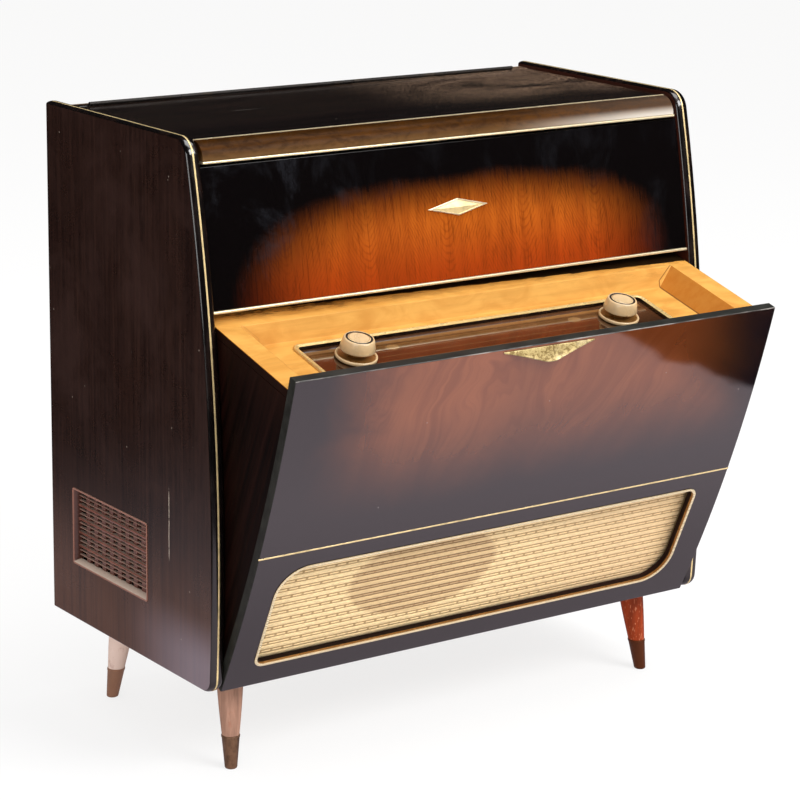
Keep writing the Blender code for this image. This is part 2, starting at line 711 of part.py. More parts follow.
# Lid
def make_lid(lid):
    origin = point(0.0, HINGE_AXIS, HINGE_Z)
    nose_front = front_at(LID_UNDERSIDE, 0.0) - NOSE_BEHIND_SIDES
    nose_back = nose_front - NOSE_DEPTH
    trim_back = nose_back - SEAT_GAP - LID_TRIM_WIDTH
    board_back = HINGE_AXIS + HINGE_LEAF + 1.5 * SEAT_GAP
    board = block(-LID_X, LID_X, board_back, trim_back - SEAT_GAP, LID_UNDERSIDE, LID_TOP)
    add_piece("lid_board", "dark_veneer", moved(board, -origin), lid)

    strip = block(-LID_X, LID_X, trim_back, trim_back + LID_TRIM_WIDTH, LID_UNDERSIDE, LID_TOP + LID_TRIM_PROUD)
    add_piece("lid_trim_upper", "brass", moved(strip, -origin), lid)

    quarter = [math.pi / 2 * (1 - i / 7) for i in range(8)]
    outline = [(nose_back, NOSE_BOTTOM)]
    for a in quarter:
        outline.append((nose_back + NOSE_DEPTH * math.cos(a), NOSE_BOTTOM + NOSE_HEIGHT * math.sin(a)))
    nosing = across_prism(outline, -LID_X, LID_X)
    add_piece("lid_nosing", "dark_veneer", moved(nosing, -origin), lid, round_piece=True)

    front = nose_front + LOWER_TRIM_PROUD
    high = LOWER_TRIM_BOTTOM + LOWER_TRIM_HEIGHT
    strip = block(-LID_X, LID_X, front - LOWER_TRIM_DEPTH, front, LOWER_TRIM_BOTTOM, high)
    add_piece("lid_trim_lower", "brass", moved(strip, -origin), lid)


def make_hinge_leaf(name, parent, origin, back, turn_of):
    """One leaf of the long hinge: a plate, and the knuckles whose turn it is."""
    pitch = HINGE_LENGTH / HINGE_KNUCKLES
    top = LID_TOP - SEAT_GAP
    tab = HINGE_Z - (HINGE_PIN + SEAT_GAP + HINGE_BARREL) / 2
    base = LID_TOP - HINGE_LEAF_HEIGHT
    outline = [(-HINGE_LENGTH / 2, base)]
    for i in range(HINGE_KNUCKLES):
        left = -HINGE_LENGTH / 2 + i * pitch
        height = tab if i % 2 == turn_of else top - SEAT_GAP
        outline += [(left, height), (left + pitch, height)]
    outline.append((HINGE_LENGTH / 2, base))
    plate = forward_prism(outline, back, back + HINGE_LEAF)
    leaf = add_piece(name, "brass", moved(plate, -origin), parent)
    for i in range(turn_of, HINGE_KNUCKLES, 2):
        left = -HINGE_LENGTH / 2 + i * pitch + SEAT_GAP
        right = left + pitch - 2 * SEAT_GAP
        tube = tube_along_x(HINGE_BARREL, HINGE_PIN + SEAT_GAP, left, right, HINGE_AXIS, HINGE_Z, 12)
        knuckle = add_object(name + "_knuckle_%d" % i, moved(tube, -origin), parent)
        combine(leaf, knuckle, "UNION")


def make_lid_hinge(root, lid):
    axis = point(0.0, HINGE_AXIS, HINGE_Z)
    make_hinge_leaf("lid_hinge_fixed_leaf", root, Vector(), HINGE_AXIS - HINGE_LEAF - SEAT_GAP / 2, 0)
    make_hinge_leaf("lid_hinge_moving_leaf", lid, axis, HINGE_AXIS + SEAT_GAP / 2, 1)
    half = HINGE_LENGTH / 2
    pin = tube_along_x(HINGE_PIN, 0.0, -half, half, HINGE_AXIS, HINGE_Z, 10)
    add_piece("lid_hinge_pin", "steel", pin, root, round_piece=True)


# Record changer
def make_changer(root):
    plate_low = DECK_TOP + SEAT_GAP
    plate_top = plate_low + CHANGER_THICKNESS
    half = CHANGER_WIDTH / 2
    plate = block(-half, half, CHANGER_BACK, CHANGER_BACK + CHANGER_LENGTH, plate_low, plate_top)
    plate = add_piece("changer_plate", "cream_enamel", plate, root)
    middle = (plate_low + plate_top) / 2
    spindle_at = point(PLATTER_OFFSET, CHANGER_BACK + PLATTER_BACK, 0.0)
    profile = [
        (HUB_RADIUS, middle),
        (HUB_RADIUS, plate_top + HUB_HEIGHT),
        (SPINDLE_RADIUS, plate_top + HUB_HEIGHT),
        (SPINDLE_RADIUS, plate_top + SPINDLE_HEIGHT),
    ]
    combine(plate, add_object("spindle_form", moved(turned(profile, 16), spindle_at), root), "UNION")
    post_at = point(ARM_OFFSET, CHANGER_BACK + ARM_BACK, 0.0)
    post = turned([(ARM_POST_RADIUS, middle), (ARM_POST_TOP_RADIUS, plate_top + ARM_POST_HEIGHT)], 16)
    combine(plate, add_object("arm_post_form", moved(post, post_at), root), "UNION")

    motor_top = plate_low - SEAT_GAP
    profile = [(MOTOR_RADIUS, motor_top - MOTOR_HEIGHT), (MOTOR_RADIUS, motor_top)]
    motor_at = point(MOTOR_OFFSET, CHANGER_BACK + PLATTER_BACK, 0.0)
    add_piece("changer_motor", "steel", moved(turned(profile, 20), motor_at), root, round_piece=True)

    bore = SPINDLE_RADIUS + RUN_GAP
    edge = PLATTER_RADIUS
    profile = [(bore, 0.0), (edge - PLATTER_CHAMFER, 0.0), (edge, PLATTER_CHAMFER)]
    profile += [(edge, PLATTER_HEIGHT), (bore, PLATTER_HEIGHT)]
    at = spindle_at + Vector((0.0, 0.0, plate_top + HUB_HEIGHT + SEAT_GAP))
    add_piece("platter", "rubber", turned_ring(profile, 32), root, at, round_piece=True)

    at = post_at + Vector((0.0, 0.0, plate_top + ARM_POST_HEIGHT + SEAT_GAP))
    add_piece("tone_arm", "cream_enamel", tone_arm(), root, at)

    side = LEVER_HALF_WIDTH
    outline = rounded_rectangle(-side, side, -side, LEVER_LENGTH, [side - SEAT_GAP] * 4, 4)
    lever = loft([[point(x, f, z) for x, f in outline] for z in (0.0, LEVER_THICKNESS)])
    at = point(LEVER_OFFSET, CHANGER_BACK + LEVER_BACK, plate_top + SEAT_GAP)
    add_piece("speed_lever", "ivory", lever, root, at, round_piece=True)


def tone_arm():
    """The arm drawn out from its weight, over its pivot, to its head."""
    weight = ARM_WEIGHT_HALF
    tube_low = (ARM_HEIGHT - ARM_TUBE_HEIGHT) / 2
    tube_high = tube_low + ARM_TUBE_HEIGHT
    head = ARM_LENGTH - ARM_HEAD_LENGTH
    stations = [
        (-ARM_WEIGHT_LENGTH, weight, 0.0, ARM_HEIGHT),
        (weight, weight, 0.0, ARM_HEIGHT),
        (weight + ARM_TAPER, ARM_TUBE_HALF, tube_low, tube_high),
        (head - ARM_TAPER, ARM_TUBE_HALF, tube_low, tube_high),
        (head, ARM_HEAD_HALF, -ARM_HEAD_DROP, tube_high),
        (ARM_LENGTH, ARM_HEAD_HALF, -ARM_HEAD_DROP, tube_low),
    ]
    rings = []
    for along, side, low, high in stations:
        rings.append([point(x, along, z) for x, z in ((-side, low), (side, low), (side, high), (-side, high))])
    return loft(rings)


# Tilting receiver, drawn shut in the frame of its pivot
def tilt_point(across, forward, height):
    return point(across, forward - PIVOT_F, height - PIVOT_Z)


def in_tilt(shape):
    return moved(shape, -point(0.0, PIVOT_F, PIVOT_Z))


def tray_origin():
    height = TILT_TOP - TRAY_BELOW_PANEL
    return front_at(height, TILT_BACK) - TRAY_FRONT_CLEARANCE, height


def tray_place(across, back, depth):
    """A point of the tray: back from its front edge along the rim, and depth below the rim."""
    forward, height = tray_origin()
    forward += depth * math.sin(TRAY_SLOPE) - back * math.cos(TRAY_SLOPE)
    height += -depth * math.cos(TRAY_SLOPE) - back * math.sin(TRAY_SLOPE)
    return tilt_point(across, forward, height)


def tray_block(side_left, side_right, front, back, top, low):
    ring = [(side_left, front), (side_right, front), (side_right, back), (side_left, back)]
    return loft([[tray_place(x, b, depth) for x, b in ring] for depth in (top, low)])


def stop_rail_front():
    """How far back along the tray the stop rail starts, so that it meets the stop strip when open."""
    tip = tray_place(0.0, 0.0, -STOP_RAIL_HEIGHT)
    opened = Matrix.Rotation(OPEN_ANGLE, 4, "X") @ tip
    forward = PIVOT_F - opened.y
    top = UPPER_PANEL_BOTTOM + SEAT_GAP + STOP_STRIP_HEIGHT
    strip = front_at(top, UPPER_PANEL_BACK + STOP_STRIP_THICKNESS)
    return (forward - strip + SEAT_GAP) / math.cos(OPEN_ANGLE - TRAY_SLOPE)


def make_tilt_front(tilt):
    outline = front_slab(TILT_BOTTOM, TILT_TOP, TILT_RECESS, TILT_BACK, 16, square_ends=True)
    shape = in_tilt(across_prism(outline, -TILT_X, TILT_X))
    panel = add_piece("tilt_front_panel", "figured_veneer", shape, tilt, round_piece=True)
    reach = TILT_THICKNESS
    cut = forward_prism(grille_outline(0.0), CABINET_DEPTH - TILT_BACK - 2 * reach, CABINET_DEPTH + reach)
    combine(panel, add_object("grille_cut", in_tilt(cut), tilt), "DIFFERENCE")

    line_z = TILT_BOTTOM + LINE_RISE
    face = front_at(line_z, TILT_RECESS)
    half = INLAY_WIDTH / 2
    strip = block(-TILT_X, TILT_X, face - INLAY_DEPTH, face + INLAY_PROUD, line_z - half, line_z + half)
    add_piece("tilt_inlay", "brass", in_tilt(strip), tilt)
    wide = half + SEAT_GAP
    groove = block(
        -HALF_WIDTH, HALF_WIDTH, face - INLAY_DEPTH - SEAT_GAP, face + reach, line_z - wide, line_z + wide
    )
    combine(panel, add_object("line_cut", in_tilt(groove), tilt), "DIFFERENCE")

    make_handle(tilt)
    make_grille(tilt)


def grille_outline(inward):
    """Outline of the speaker opening, drawn in by inward."""
    half = GRILLE_X - inward
    left, right = GRILLE_OFFSET - half, GRILLE_OFFSET + half
    low = TILT_BOTTOM + GRILLE_RISE + inward
    high = low + GRILLE_HEIGHT - 2 * inward
    large = GRILLE_LARGE_RADIUS - inward
    small = GRILLE_SMALL_RADIUS - inward
    return rounded_rectangle(left, right, low, high, (large, small, large, small), 6)


def make_handle(tilt):
    """A lip to pull by: thin at both ends, and standing out furthest at the middle of its lower edge."""
    centre = (ARC_CENTRE, BELLY_Z)
    radius = FRONT_RADIUS - TILT_RECESS
    top = front_angle(TILT_TOP, TILT_RECESS) - HANDLE_BELOW_EDGE / radius
    stations = ((-1.0, 0.06), (-0.6, 0.50), (-0.28, 0.92), (0.0, 1.0), (0.28, 0.92), (0.6, 0.50), (1.0, 0.06))
    rings = []
    for along, swell in stations:
        drop = HANDLE_DROP * swell
        reach = HANDLE_REACH * swell
        section = [(SEAT_GAP, 0.0), (HANDLE_LIP, 0.0), (HANDLE_LIP + reach, drop)]
        section += [(reach + SEAT_GAP, drop + HANDLE_LIP), (SEAT_GAP, drop + HANDLE_LIP)]
        ring = []
        for lift, down in section:
            forward, height = arc(centre, radius + lift, top - down / radius, top, 1)[0]
            ring.append(tilt_point(along * HANDLE_WIDTH / 2, forward, height))
        rings.append(ring)
    add_piece("pull_handle", "brass", loft(rings), tilt, round_piece=True)


def make_grille(tilt):
    rings = []
    lines = ((SEAT_GAP, BEAD_PROUD), (SEAT_GAP + BEAD_WIDTH, BEAD_PROUD))
    lines += ((SEAT_GAP + BEAD_WIDTH, -BEAD_DEPTH), (SEAT_GAP, -BEAD_DEPTH))
    for inward, lift in lines:
        outline = grille_outline(inward)
        rings.append([tilt_point(x, front_at(z, TILT_RECESS) + lift, z) for x, z in outline])
    add_piece("grille_bead", "brass", loft(rings, closed=True), tilt, round_piece=True)

    low = TILT_BOTTOM + GRILLE_RISE - CLOTH_LAP
    high = low + GRILLE_HEIGHT + 2 * CLOTH_LAP
    half = GRILLE_X + CLOTH_LAP
    cloth_front = front_at(low, TILT_BACK) - SEAT_GAP
    cloth_back = cloth_front - CLOTH_THICKNESS
    left, right = GRILLE_OFFSET - half, GRILLE_OFFSET + half
    shape = block(left, right, cloth_back, cloth_front, low, high)
    add_piece("grille_cloth", "speaker_cloth", in_tilt(shape), tilt)

    baffle_front = cloth_back - SEAT_GAP
    baffle_back = baffle_front - BAFFLE_THICKNESS
    shape = block(
        -BETWEEN_WALLS, BETWEEN_WALLS, baffle_back, baffle_front, low - BAFFLE_LAP / 2, high + BAFFLE_LAP
    )
    baffle = add_piece("baffle_board", "plain_board", in_tilt(shape), tilt)
    centre = TILT_BOTTOM + SPEAKER_RISE
    turns = [2 * math.pi * i / 24 for i in range(24)]
    wide = SPEAKER_HALF_WIDTH - SPEAKER_FLANGE
    tall = SPEAKER_HALF_HEIGHT - SPEAKER_FLANGE
    oval = [(SPEAKER_OFFSET + wide * math.cos(a), centre + tall * math.sin(a)) for a in turns]
    cut = forward_prism(oval, baffle_back - BAFFLE_THICKNESS, baffle_front + BAFFLE_THICKNESS)
    combine(baffle, add_object("speaker_cut", in_tilt(cut), tilt), "DIFFERENCE")

    shape = speaker(SPEAKER_HALF_WIDTH, SPEAKER_HALF_HEIGHT, SPEAKER_DEPTH)
    seat = baffle_back - SEAT_GAP
    placed = [tilt_point(SPEAKER_OFFSET + v.x, seat - v.z, centre + v.y) for v in shape[0]]
    add_piece("front_speaker", "paper_cone", (placed, shape[1]), tilt, round_piece=True)


def make_tilt_walls(tilt):
    """Box walls behind the panel, each on its pivot."""
    low = PIVOT_Z - WALL_TOE
    front = TILT_BACK + SEAT_GAP
    corner = tray_place(0.0, 0.0, TRAY_RIM_THICKNESS + SEAT_GAP)
    rear = tray_place(0.0, stop_rail_front() + STOP_RAIL_WIDTH, TRAY_RIM_THICKNESS + SEAT_GAP)
    top_z = corner.z + PIVOT_Z
    centre = (ARC_CENTRE, BELLY_Z)
    start = front_angle(low, front)
    end = front_angle(top_z, front)
    outline = arc(centre, FRONT_RADIUS - front, start, end, 10)
    outline[-1] = (PIVOT_F - corner.y, top_z)
    outline.append((PIVOT_F - rear.y, rear.z + PIVOT_Z))
    outline.append((PIVOT_F - WALL_HEEL_SETBACK, PIVOT_Z + WALL_HEEL_RISE))
    outline.append((PIVOT_F - WALL_TOE, low))
    bore = PIVOT_STUD_RADIUS + RUN_GAP
    for name, hand in (("left", -1), ("right", 1)):
        shape = across_prism(outline, hand * WALL_X, hand * WALL_INNER_X)
        wall = add_piece("tilt_wall_" + name, "dark_veneer", in_tilt(shape), tilt)
        cut = tube_along_x(bore, 0.0, hand * HALF_WIDTH, hand * (WALL_INNER_X - WALL_THICKNESS), 0.0, 0.0, 16)
        combine(wall, add_object("pivot_cut_" + name, cut, tilt), "DIFFERENCE")


def make_tray(tilt):
    rear = stop_rail_front() + STOP_RAIL_WIDTH
    floor_low = TRAY_WELL_DEPTH + TRAY_FLOOR_THICKNESS
    section = [(-WALL_X, 0.0), (WALL_X, 0.0), (WALL_X, TRAY_RIM_THICKNESS), (BETWEEN_WALLS, TRAY_RIM_THICKNESS)]
    section += [(BETWEEN_WALLS, floor_low), (-BETWEEN_WALLS, floor_low)]
    section += [(-BETWEEN_WALLS, TRAY_RIM_THICKNESS), (-WALL_X, TRAY_RIM_THICKNESS)]
    shape = loft([[tray_place(x, back, depth) for x, depth in section] for back in (0.0, rear)])
    tray = add_piece("tray_frame", "maple", shape, tilt)

    well_rear = TRAY_RIM_FRONT + TRAY_WELL_LENGTH
    rings = []
    for depth in (-TRAY_WELL_DEPTH, TRAY_WELL_DEPTH):
        side = WELL_X - TRAY_SPLAY * depth / TRAY_WELL_DEPTH
        back = well_rear - TRAY_REAR_SPLAY * depth / TRAY_WELL_DEPTH
        corners = [(-side, TRAY_RIM_FRONT), (side, TRAY_RIM_FRONT), (side, back), (-side, back)]
        rings.append([tray_place(x, b, depth) for x, b in corners])
    combine(tray, add_object("well_cut", loft(rings), tilt), "DIFFERENCE")

    left, right, front, back = dial_opening(0.0)
    cut = tray_block(left, right, front, back, TRAY_WELL_DEPTH / 2, floor_low + TRAY_FLOOR_THICKNESS)
    combine(tray, add_object("dial_cut", cut, tilt), "DIFFERENCE")
    for i in range(KEY_COUNT):
        across = key_across(i)
        wide = KEY_WIDTH / 2 + RUN_GAP
        front, back = TRAY_RIM_FRONT + RUN_GAP, TRAY_RIM_FRONT + KEY_LENGTH + 3 * RUN_GAP
        cut = tray_block(across - wide, across + wide, front, back, TRAY_WELL_DEPTH / 2, 2 * floor_low)
        combine(tray, add_object("key_cut_%d" % (i + 1), cut, tilt), "DIFFERENCE")

    make_dial(tilt)
    make_chassis(tilt)
    front = stop_rail_front()
    rail = tray_block(-BETWEEN_WALLS, BETWEEN_WALLS, front, rear, -STOP_RAIL_HEIGHT, -SEAT_GAP)
    add_piece("tilt_stop_rail", "plain_board", rail, tilt)


def bezel_outline(inward):
    left = DIAL_OFFSET - BEZEL_LENGTH / 2 + inward
    right = DIAL_OFFSET + BEZEL_LENGTH / 2 - inward
    front = BEZEL_FROM_FRONT + inward
    back = BEZEL_FROM_FRONT + BEZEL_DEPTH - inward
    return rounded_rectangle(left, right, front, back, [BEZEL_CORNER - inward] * 4, 4)


def dial_opening(gap):
    """Left, right, front and back of the opening under the bezel, drawn in by gap."""
    inward = BEZEL_SEAT + gap
    half = BEZEL_LENGTH / 2 - inward
    front = BEZEL_FROM_FRONT + inward
    return DIAL_OFFSET - half, DIAL_OFFSET + half, front, BEZEL_FROM_FRONT + BEZEL_DEPTH - inward


def make_dial(tilt):
    base = TRAY_WELL_DEPTH - SEAT_GAP
    crown = base - BEZEL_HEIGHT
    rings = []
    for inward, depth in ((0.0, base), (0.0, crown), (BEZEL_WIDTH, crown), (BEZEL_WIDTH, base)):
        rings.append([tray_place(x, b, depth) for x, b in bezel_outline(inward)])
    add_piece("dial_bezel", "brass", loft(rings, closed=True), tilt, round_piece=True)

    top = TRAY_WELL_DEPTH + GLASS_BELOW_FLOOR
    shape = tray_block(*dial_opening(SEAT_GAP), top, top + GLASS_THICKNESS)
    glass = add_piece("dial_glass", "dial_glass", shape, tilt)
    for name, hand in (("left", -1), ("right", 1)):
        reach = 2 * GLASS_THICKNESS
        hole = turned([(GLASS_HOLE_RADIUS, -reach), (GLASS_HOLE_RADIUS, reach)], 16)
        tool = add_object("shaft_cut_" + name, hole, tilt, knob_at(hand, top), -TRAY_SLOPE)
        combine(glass, tool, "DIFFERENCE")


def knob_at(hand, depth):
    return tray_place(DIAL_OFFSET + hand * KNOB_SPACING / 2, BEZEL_FROM_FRONT + BEZEL_DEPTH / 2, depth)


def key_across(i):
    return (i - (KEY_COUNT - 1) / 2) * KEY_PITCH


def make_chassis(tilt):
    top = TRAY_WELL_DEPTH + TRAY_FLOOR_THICKNESS + SEAT_GAP
    low = top + CHASSIS_HEIGHT
    front, back = TRAY_RIM_FRONT, TRAY_RIM_FRONT + CHASSIS_LENGTH
    sheet = CHASSIS_SHEET
    section = [(front, top), (back, top), (back, low), (back - sheet, low), (back - sheet, top + sheet)]
    section += [(front + sheet, top + sheet), (front + sheet, low), (front, low)]
    ends = (-BETWEEN_WALLS, BETWEEN_WALLS)
    shape = loft([[tray_place(x, b, depth) for b, depth in section] for x in ends])
    add_piece("receiver_chassis", "steel", shape, tilt)


def make_controls(tilt):
    """Two double knobs and a row of push keys, each standing square to the tray."""
    glass_top = TRAY_WELL_DEPTH + GLASS_BELOW_FLOOR
    shaft_low = glass_top - TRAY_WELL_DEPTH - TRAY_FLOOR_THICKNESS
    lean = -TRAY_SLOPE
    bore = KNOB_SHAFT_RADIUS + RUN_GAP
    seat = RING_STANDOFF
    ring_top = seat + RING_HEIGHT
    sleeve = RING_SLEEVE_RADIUS
    ring = [(bore, shaft_low), (sleeve, shaft_low), (sleeve, seat), (RING_RADIUS, seat)]
    ring += [(RING_RADIUS, ring_top - RING_CHAMFER), (RING_RADIUS - RING_CHAMFER, ring_top), (bore, ring_top)]
    low = ring_top + RUN_GAP
    cup = low + KNOB_NECK_HEIGHT
    top = cup + KNOB_HEIGHT
    knob = [(KNOB_SHAFT_RADIUS, shaft_low), (KNOB_SHAFT_RADIUS, low), (KNOB_NECK_RADIUS, low)]
    knob += [(KNOB_NECK_RADIUS, cup), (KNOB_BASE_RADIUS - KNOB_EDGE, cup), (KNOB_BASE_RADIUS, cup + KNOB_EDGE)]
    knob += [(KNOB_TOP_RADIUS, top), (KNOB_FACE_RADIUS, top), (KNOB_FACE_RADIUS, top - KNOB_FACE_DEPTH)]
    for name, hand in (("volume", -1), ("tuning", 1)):
        at = knob_at(hand, glass_top)
        add_piece(name + "_ring", "ivory", turned_ring(ring, 24), tilt, at, lean, round_piece=True)
        add_piece(name + "_knob", "ivory", turned(knob, 24), tilt, at, lean, round_piece=True)

    half = KEY_WIDTH / 2
    long = KEY_LENGTH / 2
    rings = []
    for height, inset in ((-KEY_FOOT, 0.0), (KEY_HEIGHT - KEY_CHAMFER, 0.0), (KEY_HEIGHT, KEY_CHAMFER)):
        wide, deep = half - inset, long - inset
        corners = ((-wide, -deep), (wide, -deep), (wide, deep), (-wide, deep))
        rings.append([Vector((x, y, height)) for x, y in corners])
    for i in range(KEY_COUNT):
        at = tray_place(key_across(i), TRAY_RIM_FRONT + long + 2 * RUN_GAP, TRAY_WELL_DEPTH)
        add_piece("band_key_%d" % (i + 1), "ivory", loft(rings), tilt, at, lean)


def make_pivots(root):
    """A plate with a stud on each side panel, on which the receiver turns."""
    for name, hand in (("left", -1), ("right", 1)):
        outer = hand * BOARD_X
        inner = hand * (BOARD_X - PIVOT_PLATE_THICKNESS)
        low = SIDE_BOTTOM + BOTTOM_RECESS
        front = PIVOT_F + PIVOT_STUD_RADIUS
        plate = block(outer, inner, front - PIVOT_PLATE_SIZE, front, low, low + PIVOT_PLATE_SIZE)
        plate = add_piece("pivot_plate_" + name, "steel", plate, root)
        stud = tube_along_x(
            PIVOT_STUD_RADIUS, 0.0, (outer + inner) / 2, hand * WALL_INNER_X, PIVOT_F, PIVOT_Z, 16
        )
        combine(plate, add_object("pivot_stud_" + name, stud, root), "UNION")


# Legs
def make_legs(root):
    top_z = SIDE_BOTTOM + BOTTOM_RECESS - SEAT_GAP
    turns = [2 * math.pi * i / 20 for i in range(20)]
    front_foot = CABINET_DEPTH - LEG_FRONT_SET_IN
    for depth_name, foot, inward in (("front", front_foot, -1), ("rear", LEG_REAR_SET_IN, 1)):
        for side_name, hand in (("left", -1), ("right", 1)):
            name = depth_name + "_" + side_name

            def ring(height, radius):
                share = height / top_z
                across = hand * (HALF_WIDTH - LEG_SET_IN - LEG_SPLAY_X * share)
                forward = foot + inward * LEG_SPLAY_Y * share
                circle = [(radius * math.cos(a), radius * math.sin(a)) for a in turns]
                return [point(across + x, forward + f, height) for x, f in circle]

            tip = FERRULE_TIP_RADIUS
            rings = [ring(0.0, tip - FERRULE_CHAMFER), ring(FERRULE_CHAMFER, tip)]
            rings.append(ring(FERRULE_HEIGHT, FERRULE_TOP_RADIUS))
            add_piece("ferrule_" + name, "dull_brass", loft(rings), root, round_piece=True)
            rings = [ring(FERRULE_HEIGHT + SEAT_GAP, FERRULE_TOP_RADIUS), ring(top_z, LEG_TOP_RADIUS)]
            add_piece("leg_" + name, "leg_wood", loft(rings), root, round_piece=True)


def centre_on_floor(root):
    """Moves the cabinet so that its box is centred on the origin in plan."""
    bpy.context.view_layer.update()
    depths = []
    for obj in bpy.data.objects:
        if obj.type == "MESH" and not obj.hide_render:
            depths += [(obj.matrix_world @ vertex.co).y for vertex in obj.data.vertices]
    root.location.y = -(min(depths) + max(depths)) / 2


def main():
    clear_scene()
    root = add_empty("cabinet_frame", Vector())
    for name, hand in (("left", -1), ("right", 1)):
        make_side(name, hand, root)
        make_vent(name, hand, root)
    make_boards(root)
    make_upper_front(root)
    make_legs(root)
    make_pivots(root)
    lid = add_empty("lid_axis", point(0.0, HINGE_AXIS, HINGE_Z), root)
    make_lid(lid)
    make_lid_hinge(root, lid)
    make_changer(root)
    tilt = add_empty("tilt_axis", point(0.0, PIVOT_F, PIVOT_Z), root, OPEN_ANGLE)
    make_tilt_front(tilt)
    make_tilt_walls(tilt)
    make_tray(tilt)
    make_controls(tilt)
    centre_on_floor(root)
    bpy.context.view_layer.update()


main()
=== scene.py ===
"""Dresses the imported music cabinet: lacquered veneer, brass lines, a maple tray, ivory knobs and woven cloth.

Metres, +Z up, the front faces -Y. Each piece is drawn on the CAD frame, in place of the node that it
stands for.
"""

import math

import bmesh
import bpy
from bpy.props import FloatProperty, FloatVectorProperty, IntProperty, PointerProperty
from bpy.types import Operator, Panel, PropertyGroup
from mathutils import Matrix, Vector


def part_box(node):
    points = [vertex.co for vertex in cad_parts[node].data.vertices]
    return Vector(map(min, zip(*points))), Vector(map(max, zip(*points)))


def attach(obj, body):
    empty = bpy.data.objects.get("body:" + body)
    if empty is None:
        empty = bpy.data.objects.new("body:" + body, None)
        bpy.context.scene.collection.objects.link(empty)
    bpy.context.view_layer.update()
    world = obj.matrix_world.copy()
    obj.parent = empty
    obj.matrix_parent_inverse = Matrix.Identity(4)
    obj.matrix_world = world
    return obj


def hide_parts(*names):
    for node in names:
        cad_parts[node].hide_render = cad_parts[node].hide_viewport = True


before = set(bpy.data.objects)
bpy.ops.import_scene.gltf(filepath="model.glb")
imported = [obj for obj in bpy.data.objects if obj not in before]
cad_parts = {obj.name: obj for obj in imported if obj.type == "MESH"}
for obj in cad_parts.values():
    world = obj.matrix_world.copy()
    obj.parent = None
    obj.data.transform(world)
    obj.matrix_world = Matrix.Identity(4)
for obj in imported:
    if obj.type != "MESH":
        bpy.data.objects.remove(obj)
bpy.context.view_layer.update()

bl_info = {
    "name": "Music cabinet",
    "version": (1, 0, 0),
    "blender": (4, 5, 0),
    "location": "View3D > Sidebar > Cabinet",
    "description": "Veneer, brass, maple, ivory and cloth on the music cabinet's CAD frame",
    "category": "Object",
}

# Room between pieces, tolerances, and the turn in degrees past which an edge shows sharp
SEAT_GAP = 0.0003
LEVEL = 1e-5
MERGE = 1e-6
SHARP_ANGLE = 40.0
BLUNT_ANGLE = 50.0

# Lines of the CAD frame that the pieces follow
SIDES = (("left", -1), ("right", 1))
BACK_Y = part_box("side_panel_left")[1].y
DEPTH = BACK_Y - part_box("side_panel_left")[0].y
HALF_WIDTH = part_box("side_panel_right")[1].x
SIDE_THICKNESS = HALF_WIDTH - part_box("side_panel_right")[0].x
SIDE_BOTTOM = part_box("side_panel_left")[0].z
SIDE_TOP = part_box("side_panel_left")[1].z
FRONT_RADIUS = 2.300
BELLY_Z = SIDE_BOTTOM + 0.1663
ARC_CENTRE = DEPTH - FRONT_RADIUS
TOP_CORNER = 0.028
BOTTOM_CORNER = 0.020
PANEL_RECESS = 0.0065
PANEL_BACK = 0.0225
OPEN_ANGLE = math.radians(23.3)
PIVOT_F = DEPTH - 0.0394
PIVOT_Z = SIDE_BOTTOM + 0.0125
TILT_X = 0.3798
TILT_RECESS = 0.006
TILT_BACK = 0.020
TILT_BOTTOM = 0.1329
TILT_TOP = 0.605
LINE_Z = TILT_BOTTOM + 0.218
GRILLE_X = 0.3388
GRILLE_OFFSET = -0.0042
GRILLE_LOW = TILT_BOTTOM + 0.0328
GRILLE_HEIGHT = 0.1615
TRAY_SLOPE = math.radians(8.56)
TRAY_F = 0.37749
TRAY_Z = TILT_TOP - 0.0189
TRAY_LENGTH = 0.21405
WALL_X = 0.3788
BETWEEN_WALLS = 0.3665
WELL_X = 0.3468
WELL_DEPTH = 0.025
WELL_SPLAY = 0.024
WELL_REAR_SPLAY = 0.012
RIM_FRONT = 0.015
WELL_LENGTH = 0.147
DIAL_OFFSET = -0.0055
BEZEL_LENGTH = 0.562
BEZEL_FRONT = 0.047
BEZEL_DEPTH = 0.090
GLASS_TOP = WELL_DEPTH + 0.003
DIAL_SEAT = 0.0035
KNOB_SPACING = 0.421
KNOB_FOOT = -0.0050
RING_SEAT = 0.0012
RING_HEIGHT = 0.0046
KEYS = ["band_key_%d" % number for number in range(1, 5)]
SPEAKER_X = -0.095
SPEAKER_Z = TILT_BOTTOM + 0.125


# Sizes and colours that a user may change
def length(name, text, value):
    return FloatProperty(name=name, description=text, default=value, min=0.0, unit="LENGTH", precision=5)


def number(name, text, value):
    return FloatProperty(name=name, description=text, default=value, min=0.0)


def angle(name, text, degrees):
    return FloatProperty(name=name, description=text, default=math.radians(degrees), subtype="ANGLE")


def count(name, text, value):
    return IntProperty(name=name, description=text, default=value, min=2)


def colour(name, text, value):
    return FloatVectorProperty(
        name=name, description=text, default=value, size=3, min=0.0, max=1.0, subtype="COLOR"
    )


